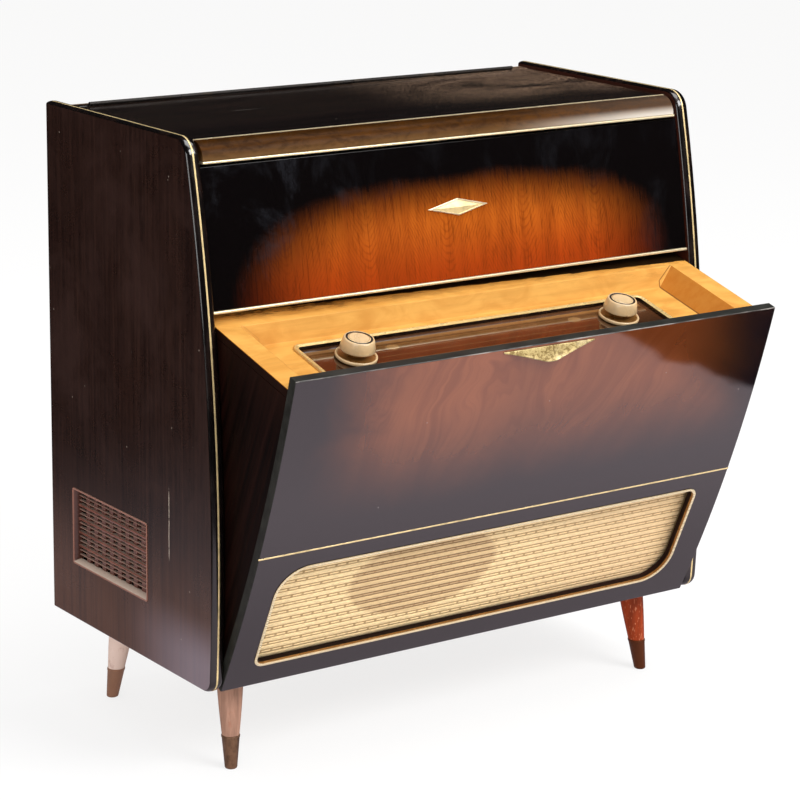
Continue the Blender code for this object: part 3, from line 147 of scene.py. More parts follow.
class CarcassSizes(PropertyGroup):
    edge_rounding: length("Edge rounding", "How far the side panels' edges round over", 0.0038)
    line_width: length("Brass line", "Width of the brass line let into each edge", 0.0024)
    line_depth: length("Line depth", "How deep the brass line is let in", 0.0015)
    bevel: length("Arris", "Rounding of the veneered boards' arrises", 0.0009)
    vent_frame: length("Vent frame", "Width of the moulded frame round each side vent", 0.0056)
    vent_rows: count("Vent blades", "Blades across each side vent", 14)
    vent_columns: count("Vent columns", "Openings along each side vent", 9)
    screw_radius: length("Screw head", "Radius of the back panel's screw heads", 0.0036)
    leg_top: length("Leg top", "Radius of a leg where it meets the board", 0.0185)
    leg_foot: length("Leg foot", "Radius of a leg where it enters its ferrule", 0.0118)
    ferrule_tip: length("Ferrule tip", "Radius of a ferrule at the floor", 0.0082)
    ferrule_height: length("Ferrule height", "Height of the ferrules", 0.043)


class ReceiverSizes(PropertyGroup):
    bead_width: length("Bead width", "Width of the bead round the speaker opening", 0.0040)
    bead_proud: length("Bead height", "How far the bead stands off the panel", 0.0015)
    rib_pitch: length("Rib pitch", "Height of one repeat of the speaker cloth", 0.0124)
    rib_height: length("Rib height", "How far the cloth's ribs stand out", 0.0006)
    handle_width: length("Handle width", "Width of the pull handle", 0.143)
    handle_drop: length("Handle drop", "Height of the pull handle", 0.016)
    handle_reach: length("Handle reach", "How far the pull handle stands out", 0.011)
    bezel_width: length("Bezel width", "Width of the dial's frame", 0.007)
    bezel_height: length("Bezel height", "Height of the dial's frame", 0.003)
    knob_base: length("Knob base", "Radius of a knob at its lower edge", 0.0231)
    knob_top: length("Knob top", "Radius of a knob at its upper edge", 0.0195)
    ring_radius: length("Ring radius", "Radius of the ring under each knob", 0.0273)


class FinishColours(PropertyGroup):
    side_dark: colour("Side dark", "Dark of the side veneer", (0.0125, 0.0042, 0.0030))
    side_pale: colour("Side pale", "Pale streak of the side veneer", (0.034, 0.0135, 0.0090))
    black_lacquer: colour("Black lacquer", "Sprayed shading and edges", (0.0022, 0.0016, 0.0017))
    burst_pale: colour("Upper veneer", "Middle of the upper panel", (0.410, 0.096, 0.0090))
    burst_foot: colour("Upper veneer foot", "Redder foot of the upper panel", (0.330, 0.040, 0.0045))
    burst_deep: colour("Upper veneer line", "Grain of the upper panel", (0.170, 0.026, 0.0035))
    tilt_pale: colour("Front veneer", "Middle of the tilting panel", (0.245, 0.072, 0.026))
    tilt_deep: colour("Front veneer figure", "Figure of the tilting panel", (0.130, 0.032, 0.010))
    nosing: colour("Nosing", "Veneer of the lid's front edge", (0.072, 0.026, 0.0045))
    maple: colour("Maple", "Lacquered maple of the tray", (0.680, 0.350, 0.080))
    maple_deep: colour("Maple shade", "Darker cloud of the tray", (0.560, 0.255, 0.048))
    brass: colour("Brass", "Polished brass trim", (0.900, 0.760, 0.500))
    line_brass: colour("Line brass", "Brass lines let into the edges", (0.860, 0.660, 0.330))
    old_brass: colour("Old brass", "Tarnished ferrules", (0.200, 0.105, 0.062))
    ivory: colour("Ivory", "Knobs and keys", (0.690, 0.500, 0.280))
    cloth: colour("Cloth", "Ribs of the speaker cloth", (0.930, 0.690, 0.370))
    cloth_deep: colour("Cloth shade", "Ground of the speaker cloth", (0.430, 0.260, 0.105))
    vent: colour("Vent plastic", "Moulded side vents", (0.215, 0.072, 0.050))
    leg: colour("Leg wood", "Stained beech of the legs", (0.360, 0.048, 0.010))
    # The pale leg wood stands for worn stain and for painted light on the left legs.
    leg_worn: colour("Worn leg wood", "Legs that have lost their stain", (0.440, 0.240, 0.170))
    dial: colour("Dial", "Glass of the dial", (0.125, 0.050, 0.020))


class StageLook(PropertyGroup):
    camera: FloatVectorProperty(
        name="Camera",
        description="Place of the camera",
        default=(-2.1203, BACK_Y - 3.2602, 1.3725),
        size=3,
        subtype="TRANSLATION",
    )
    azimuth: angle("Azimuth", "Camera's bearing", -35.132)
    elevation: angle("Elevation", "Camera's height angle", 12.922)
    roll: angle("Roll", "Camera's roll", 0.688)
    lens: FloatProperty(name="Lens", description="Focal length in millimetres", default=126.05, min=1.0)
    shift: FloatProperty(name="Shift", description="Upward shift of the picture", default=-0.1)
    ambient: number("Ambient", "Light from all round", 0.72)
    key: number("Key", "Power of the large front lamp", 150.0)
    top: number("Top", "Power of the lamp overhead", 55.0)
    fill: number("Fill", "Power of the lamp on the left", 40.0)
    paper_right: length("Paper edge", "Right-hand edge of the white paper", 0.78)
    paper_left: length("Paper reach", "How far the white paper runs to the left", 1.00)


# Shapes
def at(across, forward, height):
    return Vector((across, BACK_Y - forward, height))


def leaned(across, forward, height):
    """A point of the receiver, drawn shut, where it stands open."""
    y, z = PIVOT_F - forward, height - PIVOT_Z
    c, s = math.cos(OPEN_ANGLE), math.sin(OPEN_ANGLE)
    return Vector((across, BACK_Y - PIVOT_F + c * y - s * z, PIVOT_Z + s * y + c * z))


def tray(across, back, depth):
    """A point of the tray: back from its front edge along the rim, and depth below the rim."""
    c, s = math.cos(TRAY_SLOPE), math.sin(TRAY_SLOPE)
    return leaned(across, TRAY_F + depth * s - back * c, TRAY_Z - depth * c - back * s)


def tray_stand(across, back, depth):
    """Matrix of a thing that stands square on the tray."""
    return Matrix.Translation(tray(across, back, depth)) @ Matrix.Rotation(OPEN_ANGLE - TRAY_SLOPE, 4, "X")


def tray_rectangle(left, right, front, back, depth):
    return [tray(x, b, depth) for x, b in ((left, front), (right, front), (right, back), (left, back))]


def dial_lines(inward):
    """Left, right, front and back of the dial's frame, drawn in by inward."""
    left, right = (DIAL_OFFSET + hand * (BEZEL_LENGTH / 2 - inward) for hand in (-1, 1))
    return left, right, BEZEL_FRONT + inward, BEZEL_FRONT + BEZEL_DEPTH - inward


def knob_stand(hand):
    """Matrix of the knob on one side of the dial."""
    return tray_stand(DIAL_OFFSET + hand * KNOB_SPACING / 2, BEZEL_FRONT + BEZEL_DEPTH / 2, GLASS_TOP)


def lines_of(node):
    """Left, right, back, front, low and high of a CAD node, back and front ahead of the cabinet's back."""
    low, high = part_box(node)
    return low.x, high.x, BACK_Y - high.y, BACK_Y - low.y, low.z, high.z


def front_at(height, inset=0.0):
    return ARC_CENTRE + math.sqrt((FRONT_RADIUS - inset) ** 2 - (height - BELLY_Z) ** 2)


def spread(start, end, steps):
    return [start + (end - start) * i / steps for i in range(steps + 1)]


def arc(centre, radius, start, end, steps):
    turns = spread(start, end, steps)
    return [(centre[0] + radius * math.cos(a), centre[1] + radius * math.sin(a)) for a in turns]


def circle(centre, radius, steps):
    return arc(centre, radius, 0.0, 2 * math.pi, steps)[:-1]


def side_edge(inset):
    """The side's top, front and bottom edge from the back round to the back, set in by inset."""
    corners = []
    for height, radius in ((SIDE_TOP - TOP_CORNER, TOP_CORNER), (SIDE_BOTTOM + BOTTOM_CORNER, BOTTOM_CORNER)):
        reach = math.sqrt((FRONT_RADIUS - radius) ** 2 - (height - BELLY_Z) ** 2)
        corners.append(((ARC_CENTRE + reach, height), math.atan2(height - BELLY_Z, reach)))
    (top, top_angle), (low, low_angle) = corners
    points = [(0.0, SIDE_TOP - inset)]
    points += arc(top, TOP_CORNER - inset, math.pi / 2, top_angle, 14)
    points += arc((ARC_CENTRE, BELLY_Z), FRONT_RADIUS - inset, top_angle, low_angle, 40)[1:-1]
    points += arc(low, BOTTOM_CORNER - inset, low_angle, -math.pi / 2, 12)
    points.append((0.0, SIDE_BOTTOM + inset))
    return points


def front_slab(low, high, front_inset, back_inset, steps, square=False):
    """Outline of a board bent along the front curve, its ends level, or square to the curve."""
    if not square:
        heights = spread(low, high, steps)
        outline = [(front_at(z, front_inset), z) for z in heights]
        return outline + [(front_at(z, back_inset), z) for z in reversed(heights)]
    start, end = (math.asin((z - BELLY_Z) / (FRONT_RADIUS - front_inset)) for z in (low, high))
    centre = (ARC_CENTRE, BELLY_Z)
    outline = arc(centre, FRONT_RADIUS - front_inset, start, end, steps)
    return outline + arc(centre, FRONT_RADIUS - back_inset, end, start, steps)


def rounded_rectangle(left, right, low, high, radii, steps=8):
    """Outline whose corners, from the upper right round to the left, have these radii."""
    points = []
    places = ((right, high, -1, -1), (left, high, 1, -1), (left, low, 1, 1), (right, low, -1, 1))
    for turn, ((x, z, dx, dz), radius) in enumerate(zip(places, radii)):
        centre = (x + dx * radius, z + dz * radius)
        points += arc(centre, radius, turn * math.pi / 2, (turn + 1) * math.pi / 2, steps)
    return points


def round_front(back, front, low, high, radius):
    """Section of a strip whose front corners are rounded."""
    lower = arc((front - radius, low + radius), radius, -math.pi / 2, 0.0, 5)
    upper = arc((front - radius, high - radius), radius, 0.0, math.pi / 2, 5)
    return [(back, low)] + lower + upper + [(back, high)]


def loft(rings, closed=False, zones=None):
    """Points, faces and their zones for a skin over rings of points, capped where it isn't closed."""
    count = len(rings[0])
    spans = len(rings) if closed else len(rings) - 1
    faces, marks = [], []
    for i in range(spans):
        a, b = i * count, (i + 1) % len(rings) * count
        for j in range(count):
            k = (j + 1) % count
            faces.append((a + j, a + k, b + k, b + j))
            marks.append(zones[i] if zones else 0)
    if not closed:
        last = (len(rings) - 1) * count
        faces += [tuple(range(count)), tuple(range(last, last + count))]
        marks += [marks[0], marks[-1]]
    return [p for ring in rings for p in ring], faces, marks


def across_prism(outline, left, right, put=at):
    return loft([[put(x, f, z) for f, z in outline] for x in (left, right)])


def forward_prism(outline, back, front, put=at):
    return loft([[put(x, f, z) for x, z in outline] for f in (back, front)])


def turned(profile, matrix, steps, ring=False):
    """A turned shape about Z, from (radius, height) or (radius, height, zone) down its profile."""
    rings, zones = [], []
    for radius, height, *zone in profile:
        rings.append([matrix @ Vector((x, y, height)) for x, y in circle((0.0, 0.0), radius, steps)])
        zones.append(zone[0] if zone else 0)
    return loft(rings, closed=ring, zones=zones)


def solid(form):
    points, faces, marks = form
    bm = bmesh.new()
    made = [bm.verts.new(p) for p in points]
    for face, mark in zip(faces, marks):
        bm.faces.new([made[i] for i in face]).material_index = mark
    bmesh.ops.remove_doubles(bm, verts=bm.verts, dist=MERGE)
    bmesh.ops.recalc_face_normals(bm, faces=bm.faces)
    return bm


def soften(bm, width, segments=3, angle=30.0):
    """Rounds every arris that is sharper than an angle."""
    sharp = [e for e in bm.edges if len(e.link_faces) == 2 and e.calc_face_angle() > math.radians(angle)]
    bmesh.ops.bevel(bm, geom=sharp, offset=width, segments=segments, profile=0.5, affect="EDGES")
    return bm


def loose_object(name, bm):
    mesh = bpy.data.meshes.new(name)
    bm.to_mesh(mesh)
    bm.free()
    obj = bpy.data.objects.new(name, mesh)
    bpy.context.scene.collection.objects.link(obj)
    return obj


def carved(bm, *tools):
    """A shape with tools cut out of it."""
    work = loose_object("work", bm)
    cutters = [loose_object("cutter", solid(tool)) for tool in tools]
    for cutter in cutters:
        cut = work.modifiers.new("cut", "BOOLEAN")
        cut.operation = "DIFFERENCE"
        cut.solver = "EXACT"
        cut.object = cutter
    result = bmesh.new()
    result.from_object(work, bpy.context.evaluated_depsgraph_get())
    for obj in [work] + cutters:
        bpy.data.objects.remove(obj)
    bmesh.ops.remove_doubles(result, verts=result.verts, dist=MERGE)
    return result


def facing(axis, limit):
    """Zone 0 for faces that look along an axis, and zone 1 for the rest."""

    def zone(face):
        return 0 if face.normal.dot(axis) > limit else 1

    return zone


def piece(name, bm, finishes, body, nodes=(), zone=None, sharp=SHARP_ANGLE, even=False):
    """A finished object on its body, in place of its CAD nodes."""
    for face in bm.faces:
        face.smooth = True
        if zone:
            face.material_index = zone(face)
    mesh = bpy.data.meshes.new(name)
    bm.to_mesh(mesh)
    bm.free()
    mesh.set_sharp_from_angle(angle=math.radians(sharp))
    for finish in finishes:
        mesh.materials.append(finish_of(finish))
    return settle(name, mesh, body, nodes, even)


def settle(name, mesh, body, nodes=(), even=False):
    obj = bpy.data.objects.new(name, mesh)
    bpy.context.scene.collection.objects.link(obj)
    if even:
        weighted = obj.modifiers.new("even", "WEIGHTED_NORMAL")
        weighted.keep_sharp = True
    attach(obj, body)
    if nodes:
        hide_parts(*nodes)
    return obj


# Node trees
class Value:
    """A socket that Python's operators can work on."""

    def __init__(self, nodes, socket):
        self.nodes = nodes
        self.socket = socket

    def __add__(self, other):
        return self.nodes.math("ADD", self, other)

    def __radd__(self, other):
        return self.nodes.math("ADD", other, self)

    def __sub__(self, other):
        return self.nodes.math("SUBTRACT", self, other)

    def __rsub__(self, other):
        return self.nodes.math("SUBTRACT", other, self)

    def __mul__(self, other):
        return self.nodes.math("MULTIPLY", self, other)

    def __rmul__(self, other):
        return self.nodes.math("MULTIPLY", other, self)

    def __truediv__(self, other):
        return self.nodes.math("DIVIDE", self, other)

    def __rtruediv__(self, other):
        return self.nodes.math("DIVIDE", other, self)


class Nodes:
    """A node tree, and one way to add any node to it."""

    def __init__(self, tree):
        self.tree = tree

    def node(self, kind, settings=None, inputs=None, output=0):
        made = self.tree.nodes.new(kind)
        for key, value in (settings or {}).items():
            setattr(made, key, value)
        for key, value in (inputs or {}).items():
            if isinstance(value, Value):
                self.tree.links.new(value.socket, made.inputs[key])
            else:
                made.inputs[key].default_value = value
        return Value(self, made.outputs[output]) if made.outputs else None

    def math(self, operation, first, second=0.0):
        return self.node("ShaderNodeMath", {"operation": operation}, {0: first, 1: second})


class Finish(Nodes):
    """A material in the making."""

    def __init__(self, name):
        self.material = bpy.data.materials.new("finish_" + name)
        self.material.use_nodes = True
        super().__init__(self.material.node_tree)
        self.tree.nodes.clear()

    def place(self, scale=(1.0, 1.0, 1.0), turn=(0.0, 0.0, 0.0), shift=(0.0, 0.0, 0.0)):
        where = self.node("ShaderNodeTexCoord", output="Object")
        inputs = {"Vector": where, "Location": shift, "Rotation": turn, "Scale": scale}
        return self.node("ShaderNodeMapping", {}, inputs)

    def shut_place(self, scale=(1.0, 1.0, 1.0)):
        """Coordinates that turn with the receiver: across, and behind and above its pivot when shut."""
        pivot = Matrix.Rotation(-OPEN_ANGLE, 3, "X") @ Vector((0.0, BACK_Y - PIVOT_F, PIVOT_Z))
        shut = self.place(turn=(-OPEN_ANGLE, 0.0, 0.0), shift=tuple(-pivot))
        return self.node("ShaderNodeMapping", {}, {"Vector": shut, "Scale": scale})

    def axes(self, vector):
        split = self.node("ShaderNodeSeparateXYZ", {}, {0: vector})
        outputs = split.socket.node.outputs
        return [Value(self, outputs[i]) for i in range(3)]

    def texture(self, vector, scale, detail, roughness=0.55, distortion=0.0):
        inputs = {"Vector": vector, "Scale": scale, "Detail": detail, "Roughness": roughness}
        inputs["Distortion"] = distortion
        return self.node("ShaderNodeTexNoise", {}, inputs)

    def noise(self, scale, *kind):
        return self.texture(self.place(scale), 1.0, *kind)

    def shut_noise(self, scale, *kind):
        return self.texture(self.shut_place(scale), 1.0, *kind)

    def span(self, value, low, high, first=0.0, last=1.0):
        inputs = {"Value": value, "From Min": low, "From Max": high, "To Min": first, "To Max": last}
        return self.node("ShaderNodeMapRange", {"interpolation_type": "SMOOTHSTEP"}, inputs)

    def roughness(self, noise, low, high):
        """From low to high over the middle of a noise."""
        return self.span(noise, 0.3, 0.7, low, high)

    def mix(self, factor, first, second):
        inputs = {0: factor}
        for key, value in ((6, first), (7, second)):
            inputs[key] = value if isinstance(value, Value) else (*value, 1.0)
        return self.node("ShaderNodeMix", {"data_type": "RGBA", "clamp_factor": True}, inputs, 2)

    def bump(self, height, strength, distance):
        inputs = {"Height": height, "Strength": strength, "Distance": distance}
        return self.node("ShaderNodeBump", {}, inputs)

    def specks(self, vector, scale, size):
        """Small round specks, one where the cell's own shade allows it."""
        cell = self.node("ShaderNodeTexVoronoi", {}, {"Vector": vector, "Scale": scale})
        shade = Value(self, cell.socket.node.outputs["Color"])
        chance = self.axes(shade)[0]
        return (1.0 - self.span(cell, size * 0.4, size)) * self.span(chance, 0.70, 0.74)

    def surface(self, base, roughness, **others):
        inputs = {"Base Color": base if isinstance(base, Value) else (*base, 1.0), "Roughness": roughness}
        for key, value in others.items():
            inputs[key.replace("_", " ").title().replace("Ior", "IOR")] = value
        shader = self.node("ShaderNodeBsdfPrincipled", {}, inputs)
        self.node("ShaderNodeOutputMaterial", {}, {"Surface": shader})
        return self.material

    def two_tone(self, value, ends, first, second, rough, bump=None, **others):
        """A surface whose shade, roughness and relief all follow one value."""
        shade = self.mix(self.span(value, *ends), first, second)
        if bump:
            others["normal"] = self.bump(value, *bump)
        if isinstance(rough, tuple):
            rough = self.roughness(value, *rough)
        return self.surface(shade, rough, **others)


def rgb(name):
    return tuple(getattr(bpy.context.scene.cabinet_colours, name))


def darker(shade, share):
    return tuple(c * share for c in shade)


def side_veneer(m):
    """Dark stained veneer with upright grain, under a satin lacquer with dust and a few scratches, and a
    painted grey reflection of the floor low on its front.
    """
    streak = m.noise((90.0, 140.0, 2.4), 6.0, 0.66)
    pores = m.noise((260.0, 640.0, 12.0), 3.0)
    cloud = m.texture(m.place(), 6.5, 6.0, 0.66, 0.6)
    x, y, z = m.axes(m.place())
    shade = m.mix(m.span(streak, 0.30, 0.74), rgb("side_dark"), rgb("side_pale"))
    shade = m.mix(m.span(pores, 0.46, 0.64) * 0.60, shade, darker(rgb("side_dark"), 0.35))
    shade = m.mix(m.span(cloud, 0.38, 0.70) * 0.60, shade, (0.046, 0.0195, 0.0150))
    worn = (1.0 - m.span(z, 0.14, 0.34)) * m.span(streak, 0.25, 0.65, 0.35, 0.85)
    shade = m.mix(worn, shade, (0.100, 0.040, 0.022))
    front = m.span(y, BACK_Y - 0.38, BACK_Y - 0.18, 1.0, 0.0)
    foot = (1.0 - m.span(z, SIDE_BOTTOM + 0.030, SIDE_BOTTOM + 0.105)) * front
    # Painted reflection: the foot of the side, towards its front, is tinted grey-mauve for the floor's sheen in
    # the lacquer.
    shade = m.mix(foot * 0.40, shade, (0.290, 0.255, 0.330))
    inside = 1.0 - m.span(x * m.axes(m.node("ShaderNodeNewGeometry", output="Normal"))[0], -0.05, 0.05)
    shade = m.mix(inside, shade, (0.042, 0.0095, 0.0050))
    wander = m.noise((1.0, 1.0, 22.0), 2.0)
    off = m.math("ABSOLUTE", y - (BACK_Y - 0.312) + (wander - 0.5) * 0.004)
    scratch = (1.0 - m.span(off, 0.0004, 0.0012)) * m.span(z, 0.272, 0.285) * (1.0 - m.span(z, 0.355, 0.376))
    broken = m.span(m.noise((1.0, 1.0, 140.0), 2.0), 0.36, 0.5)
    scratch = scratch * broken * (1.0 - m.span(x, -0.3, -0.2))
    dust = m.specks(m.place(), 40.0, 0.055) + m.specks(m.place((1.0, 1.0, 0.35)), 27.0, 0.035)
    shade = m.mix(scratch * 0.90 + dust * 0.55, shade, (0.46, 0.38, 0.31))
    gloss = m.roughness(cloud, 0.24, 0.40)
    bump = m.bump(pores + streak * 0.4, 0.10, 0.0003)
    weight = (front * (0.34 + foot * 0.60) + 0.03) * m.span(cloud, 0.3, 0.7, 1.0, 0.7)
    return m.surface(
        shade, gloss, normal=bump, specular_ior_level=0.30, coat_weight=weight, coat_roughness=0.16
    )


def edge_lacquer(m):
    """Black gloss lacquer on rounded edges, rubbed a little brown."""
    rub = m.noise((60.0, 60.0, 14.0), 5.0)
    shade = m.mix(m.span(rub, 0.40, 0.76) * 0.6, rgb("black_lacquer"), (0.020, 0.0070, 0.0040))
    return m.surface(shade, m.roughness(rub, 0.12, 0.30), coat_weight=0.8, coat_roughness=0.06)


def lid_veneer(m):
    """Nearly black lid with rubbed bands, dust and fine scratches along it."""
    grain = m.noise((2.0, 60.0, 60.0), 5.0)
    haze = m.texture(m.place((3.0, 9.0, 1.0)), 1.6, 7.0, 0.68, 0.8)
    grit = m.noise((430.0, 300.0, 1.0), 3.0, 0.80)
    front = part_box("lid_board")[0].y
    x, y, _ = m.axes(m.place())
    shade = m.mix(m.span(grain, 0.35, 0.75), (0.0030, 0.0018, 0.0018), (0.0085, 0.0045, 0.0040))
    dust = m.span(haze, 0.32, 0.54, 0.16, 1.0) * m.span(x, -0.02, 0.26, 0.06, 1.0)
    dust = dust * m.span(y, front + 0.03, front + 0.15, 0.06, 1.0)
    shade = m.mix(dust * m.span(grit, 0.40, 0.66), shade, (0.320, 0.205, 0.135))
    lint = m.specks(m.place((1.0, 1.0, 0.0)), 46.0, 0.06) * 0.5
    hair = m.texture(m.place((9.0, 260.0, 1.0), (0.0, 0.0, 0.35)), 1.0, 2.0)
    shade = m.mix(lint + m.span(hair, 0.72, 0.80) * 0.22, shade, (0.42, 0.39, 0.36))
    rough = m.span(haze, 0.35, 0.75, 0.10, 0.26)
    return m.surface(shade, rough, specular_ior_level=0.30)


def nosing_veneer(m):
    """Bronze-brown burr along the lid's front, dark in patches, with painted light: paler where it rounds down,
    darker along its crown, and a painted highlight towards its right end.
    """
    grain = m.noise((14.0, 150.0, 150.0), 5.0)
    patch = m.noise((40.0, 80.0, 80.0), 6.0, 0.72, 0.6)
    x, _, z = m.axes(m.place())
    low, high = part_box("lid_nosing")
    shade = m.mix(m.span(grain, 0.30, 0.72), darker(rgb("nosing"), 0.60), rgb("nosing"))
    # Painted light: paler where the edge rounds down towards the front.
    down = 1.0 - m.span(z, low.z, low.z + 0.58 * (high.z - low.z))
    shade = m.mix(down * 0.70, shade, (0.148, 0.080, 0.033))
    shade = m.mix(m.span(patch, 0.38, 0.68) * (0.70 - 0.40 * down), shade, darker(rgb("nosing"), 0.20))
    # Painted shade: darker along the crown.
    crown = m.span(z, low.z + 0.6 * (high.z - low.z), high.z)
    shade = m.mix(crown * 0.45, shade, darker(rgb("nosing"), 0.15))
    # Painted highlight: grey-white towards the right end, low on the edge.
    shade = m.mix(m.span(x, 0.06, 0.37) * (0.04 + 0.9 * down), shade, (0.560, 0.510, 0.450))
    bump = m.bump(grain, 0.10, 0.0003)
    rough = m.roughness(patch, 0.22, 0.38)
    return m.surface(shade, rough, normal=bump, specular_ior_level=0.03)


def leaf_figure(m, across, height, width, stretch, wander):
    """Growth lines of veneer leaves laid side by side, drawn down into blunt points."""
    into = m.math("PINGPONG", across, width)
    return m.math("SQRT", into * into + 0.0001) - height * stretch + wander


def sprayed(m, across, height, centre, reach, wander):
    """How far a point lies in the pale middle that the sprayed shading leaves."""
    a = m.math("ABSOLUTE", (across - centre[0]) / reach[0])
    b = m.math("ABSOLUTE", (height - centre[1]) / reach[1])
    away = m.math("POWER", a * a * a + b * b * b, 1.0 / 3.0)
    return 1.0 - m.span(away + wander, 0.70, 1.28)


def upper_veneer(m):
    """Figured orange veneer that the sprayed black shading leaves bare in the middle."""
    x, _, z = m.axes(m.place())
    slow = m.noise((7.0, 1.0, 2.6), 4.0)
    curl = m.noise((36.0, 1.0, 16.0), 4.0, 0.6)
    wander = (slow - 0.5) * 0.030 + (curl - 0.5) * 0.008
    ring = leaf_figure(m, x + 0.019, z, 0.062, 0.45, wander)
    wave = m.math("SINE", ring * 1450.0)
    fine = m.noise((430.0, 1.0, 26.0), 4.0, 0.65)
    ray = m.noise((38.0, 1.0, 1.6), 5.0, 0.6)
    line = m.span(wave, 0.10, 0.95) * m.span(curl, 0.34, 0.60)
    shade = m.mix(m.span(z, 0.612, 0.700), rgb("burst_foot"), rgb("burst_pale"))
    shade = m.mix(m.span(ray, 0.36, 0.66, 0.42, 0.0), shade, rgb("burst_deep"))
    shade = m.mix(line * 0.42, shade, rgb("burst_deep"))
    shade = m.mix(m.span(fine, 0.50, 0.66) * 0.55, shade, darker(rgb("burst_deep"), 0.6))
    shade = m.mix((1.0 - m.span(x, -0.24, 0.06)) * 0.22, shade, darker(rgb("burst_deep"), 1.2))
    cloud = m.noise((5.0, 1.0, 9.0), 3.0)
    wander = (cloud - 0.5) * 0.18 + (fine - 0.5) * 0.10 + (ray - 0.5) * 0.09
    bare = sprayed(m, x, z, (0.004, 0.599), (0.279, 0.117), wander)
    shade = m.mix(bare, rgb("black_lacquer"), shade)
    smudge = m.noise((13.0, 1.0, 9.0), 6.0, 0.68, 0.5)
    smoky = m.span(smudge, 0.48, 0.74) * (1.0 - m.span(bare, 0.0, 0.4)) * m.span(x, -0.30, -0.10, 0.60, 0.16)
    shade = m.mix(smoky, shade, (0.024, 0.025, 0.031))
    bump = m.bump(fine, 0.05, 0.0002)
    rough = m.span(smudge, 0.4, 0.8, 0.08, 0.20)
    return m.surface(
        shade, rough, normal=bump, specular_ior_level=0.14, coat_weight=0.14, coat_roughness=0.04
    )


def tilt_veneer(m):
    """Red-brown crotch veneer under a mirror lacquer, sprayed black towards its edges, with painted shade in
    its upper right corner.
    """
    x, _, z = m.axes(m.shut_place())
    sweep = m.shut_noise((6.0, 1.0, 4.2), 3.0, 0.5, 0.8)
    fan = (x - 0.06) * (1.30 - z) - z * 0.42 + (sweep - 0.5) * 0.17
    flame = m.texture(m.node("ShaderNodeCombineXYZ", {}, {0: fan * 44.0, 1: z * 4.0}), 1.0, 4.0, 0.6, 0.4)
    hair = m.texture(m.node("ShaderNodeCombineXYZ", {}, {0: fan * 260.0, 1: z * 12.0}), 1.0, 3.0)
    cloud = m.shut_noise((8.0, 1.0, 6.0), 4.0, 0.6, 0.7)
    shade = m.mix(m.span(sweep, 0.30, 0.68), darker(rgb("tilt_pale"), 0.74), rgb("tilt_pale"))
    shade = m.mix(m.span(flame, 0.40, 0.66) * 0.55, shade, rgb("tilt_deep"))
    shade = m.mix(m.span(hair, 0.46, 0.70) * 0.22, shade, darker(rgb("tilt_deep"), 0.75))
    # Painted shade: the upper right corner is darkened along the line where the floor's reflection ends.
    painted_shade_corner = m.span(x + (z - 0.40) * 2.0, 0.16, 0.30)
    shade = m.mix(painted_shade_corner * 0.75, shade, (0.100, 0.021, 0.0030))
    shade = m.mix(painted_shade_corner * m.span(x, 0.20, 0.35) * 0.85, shade, (0.020, 0.0080, 0.0030))
    off = m.math("ABSOLUTE", x - 0.035) + (cloud - 0.5) * 0.13
    low = TILT_BOTTOM - PIVOT_Z
    bare = (1.0 - m.span(off, 0.232, 0.372)) * m.span(z + (cloud - 0.5) * 0.05, low + 0.252, low + 0.420)
    shade = m.mix(bare * 0.84, (0.0050, 0.0028, 0.0046), shade)
    rub = m.shut_noise((16.0, 1.0, 16.0), 6.0, 0.7, 1.0)
    rough = m.span(rub, 0.35, 0.75, 0.035, 0.085) + m.span(rub, 0.66, 0.78) * 0.10
    dust = m.specks(m.shut_place((1.0, 0.0, 1.0)), 42.0, 0.055)
    shade = m.mix(dust * 0.45, shade, (0.30, 0.27, 0.26))
    return m.surface(shade, rough, coat_weight=1.0, coat_roughness=0.03)


def panel_edge(m):
    """Satin black edge of the tilting front."""
    rub = m.shut_noise((30.0, 60.0, 60.0), 4.0)
    shades = (0.0150, 0.0148, 0.0125), (0.0270, 0.0265, 0.0225)
    return m.two_tone(rub, (0.35, 0.70), *shades, (0.38, 0.50), specular_ior_level=0.25)


def rubbed_arris(m):
    """Arris of the tilting front, its lacquer rubbed to a pale line that is also a painted highlight."""
    rub = m.shut_noise((24.0, 60.0, 60.0), 4.0)
    return m.two_tone(rub, (0.40, 0.70), (0.040, 0.037, 0.034), (0.300, 0.270, 0.245), (0.30, 0.45))


def wall_veneer(m):
    """Plain red-brown veneer on the receiver's box, darker towards its foot."""
    grain = m.shut_noise((1.0, 90.0, 3.0), 6.0, 0.62)
    pores = m.shut_noise((1.0, 520.0, 12.0), 2.0)
    z = m.axes(m.shut_place())[2]
    shade = m.mix(m.span(grain, 0.30, 0.72), (0.0040, 0.0008, 0.0004), (0.0160, 0.0030, 0.0012))
    shade = m.mix(m.span(pores, 0.52, 0.68) * 0.6, shade, (0.0020, 0.0005, 0.0003))
    shade = m.mix(m.span(z, 0.36, 0.46) * 0.5, shade, (0.0260, 0.0070, 0.0030))
    bump = m.bump(pores, 0.12, 0.0003)
    return m.surface(shade, m.roughness(grain, 0.45, 0.60), normal=bump, specular_ior_level=0.12)


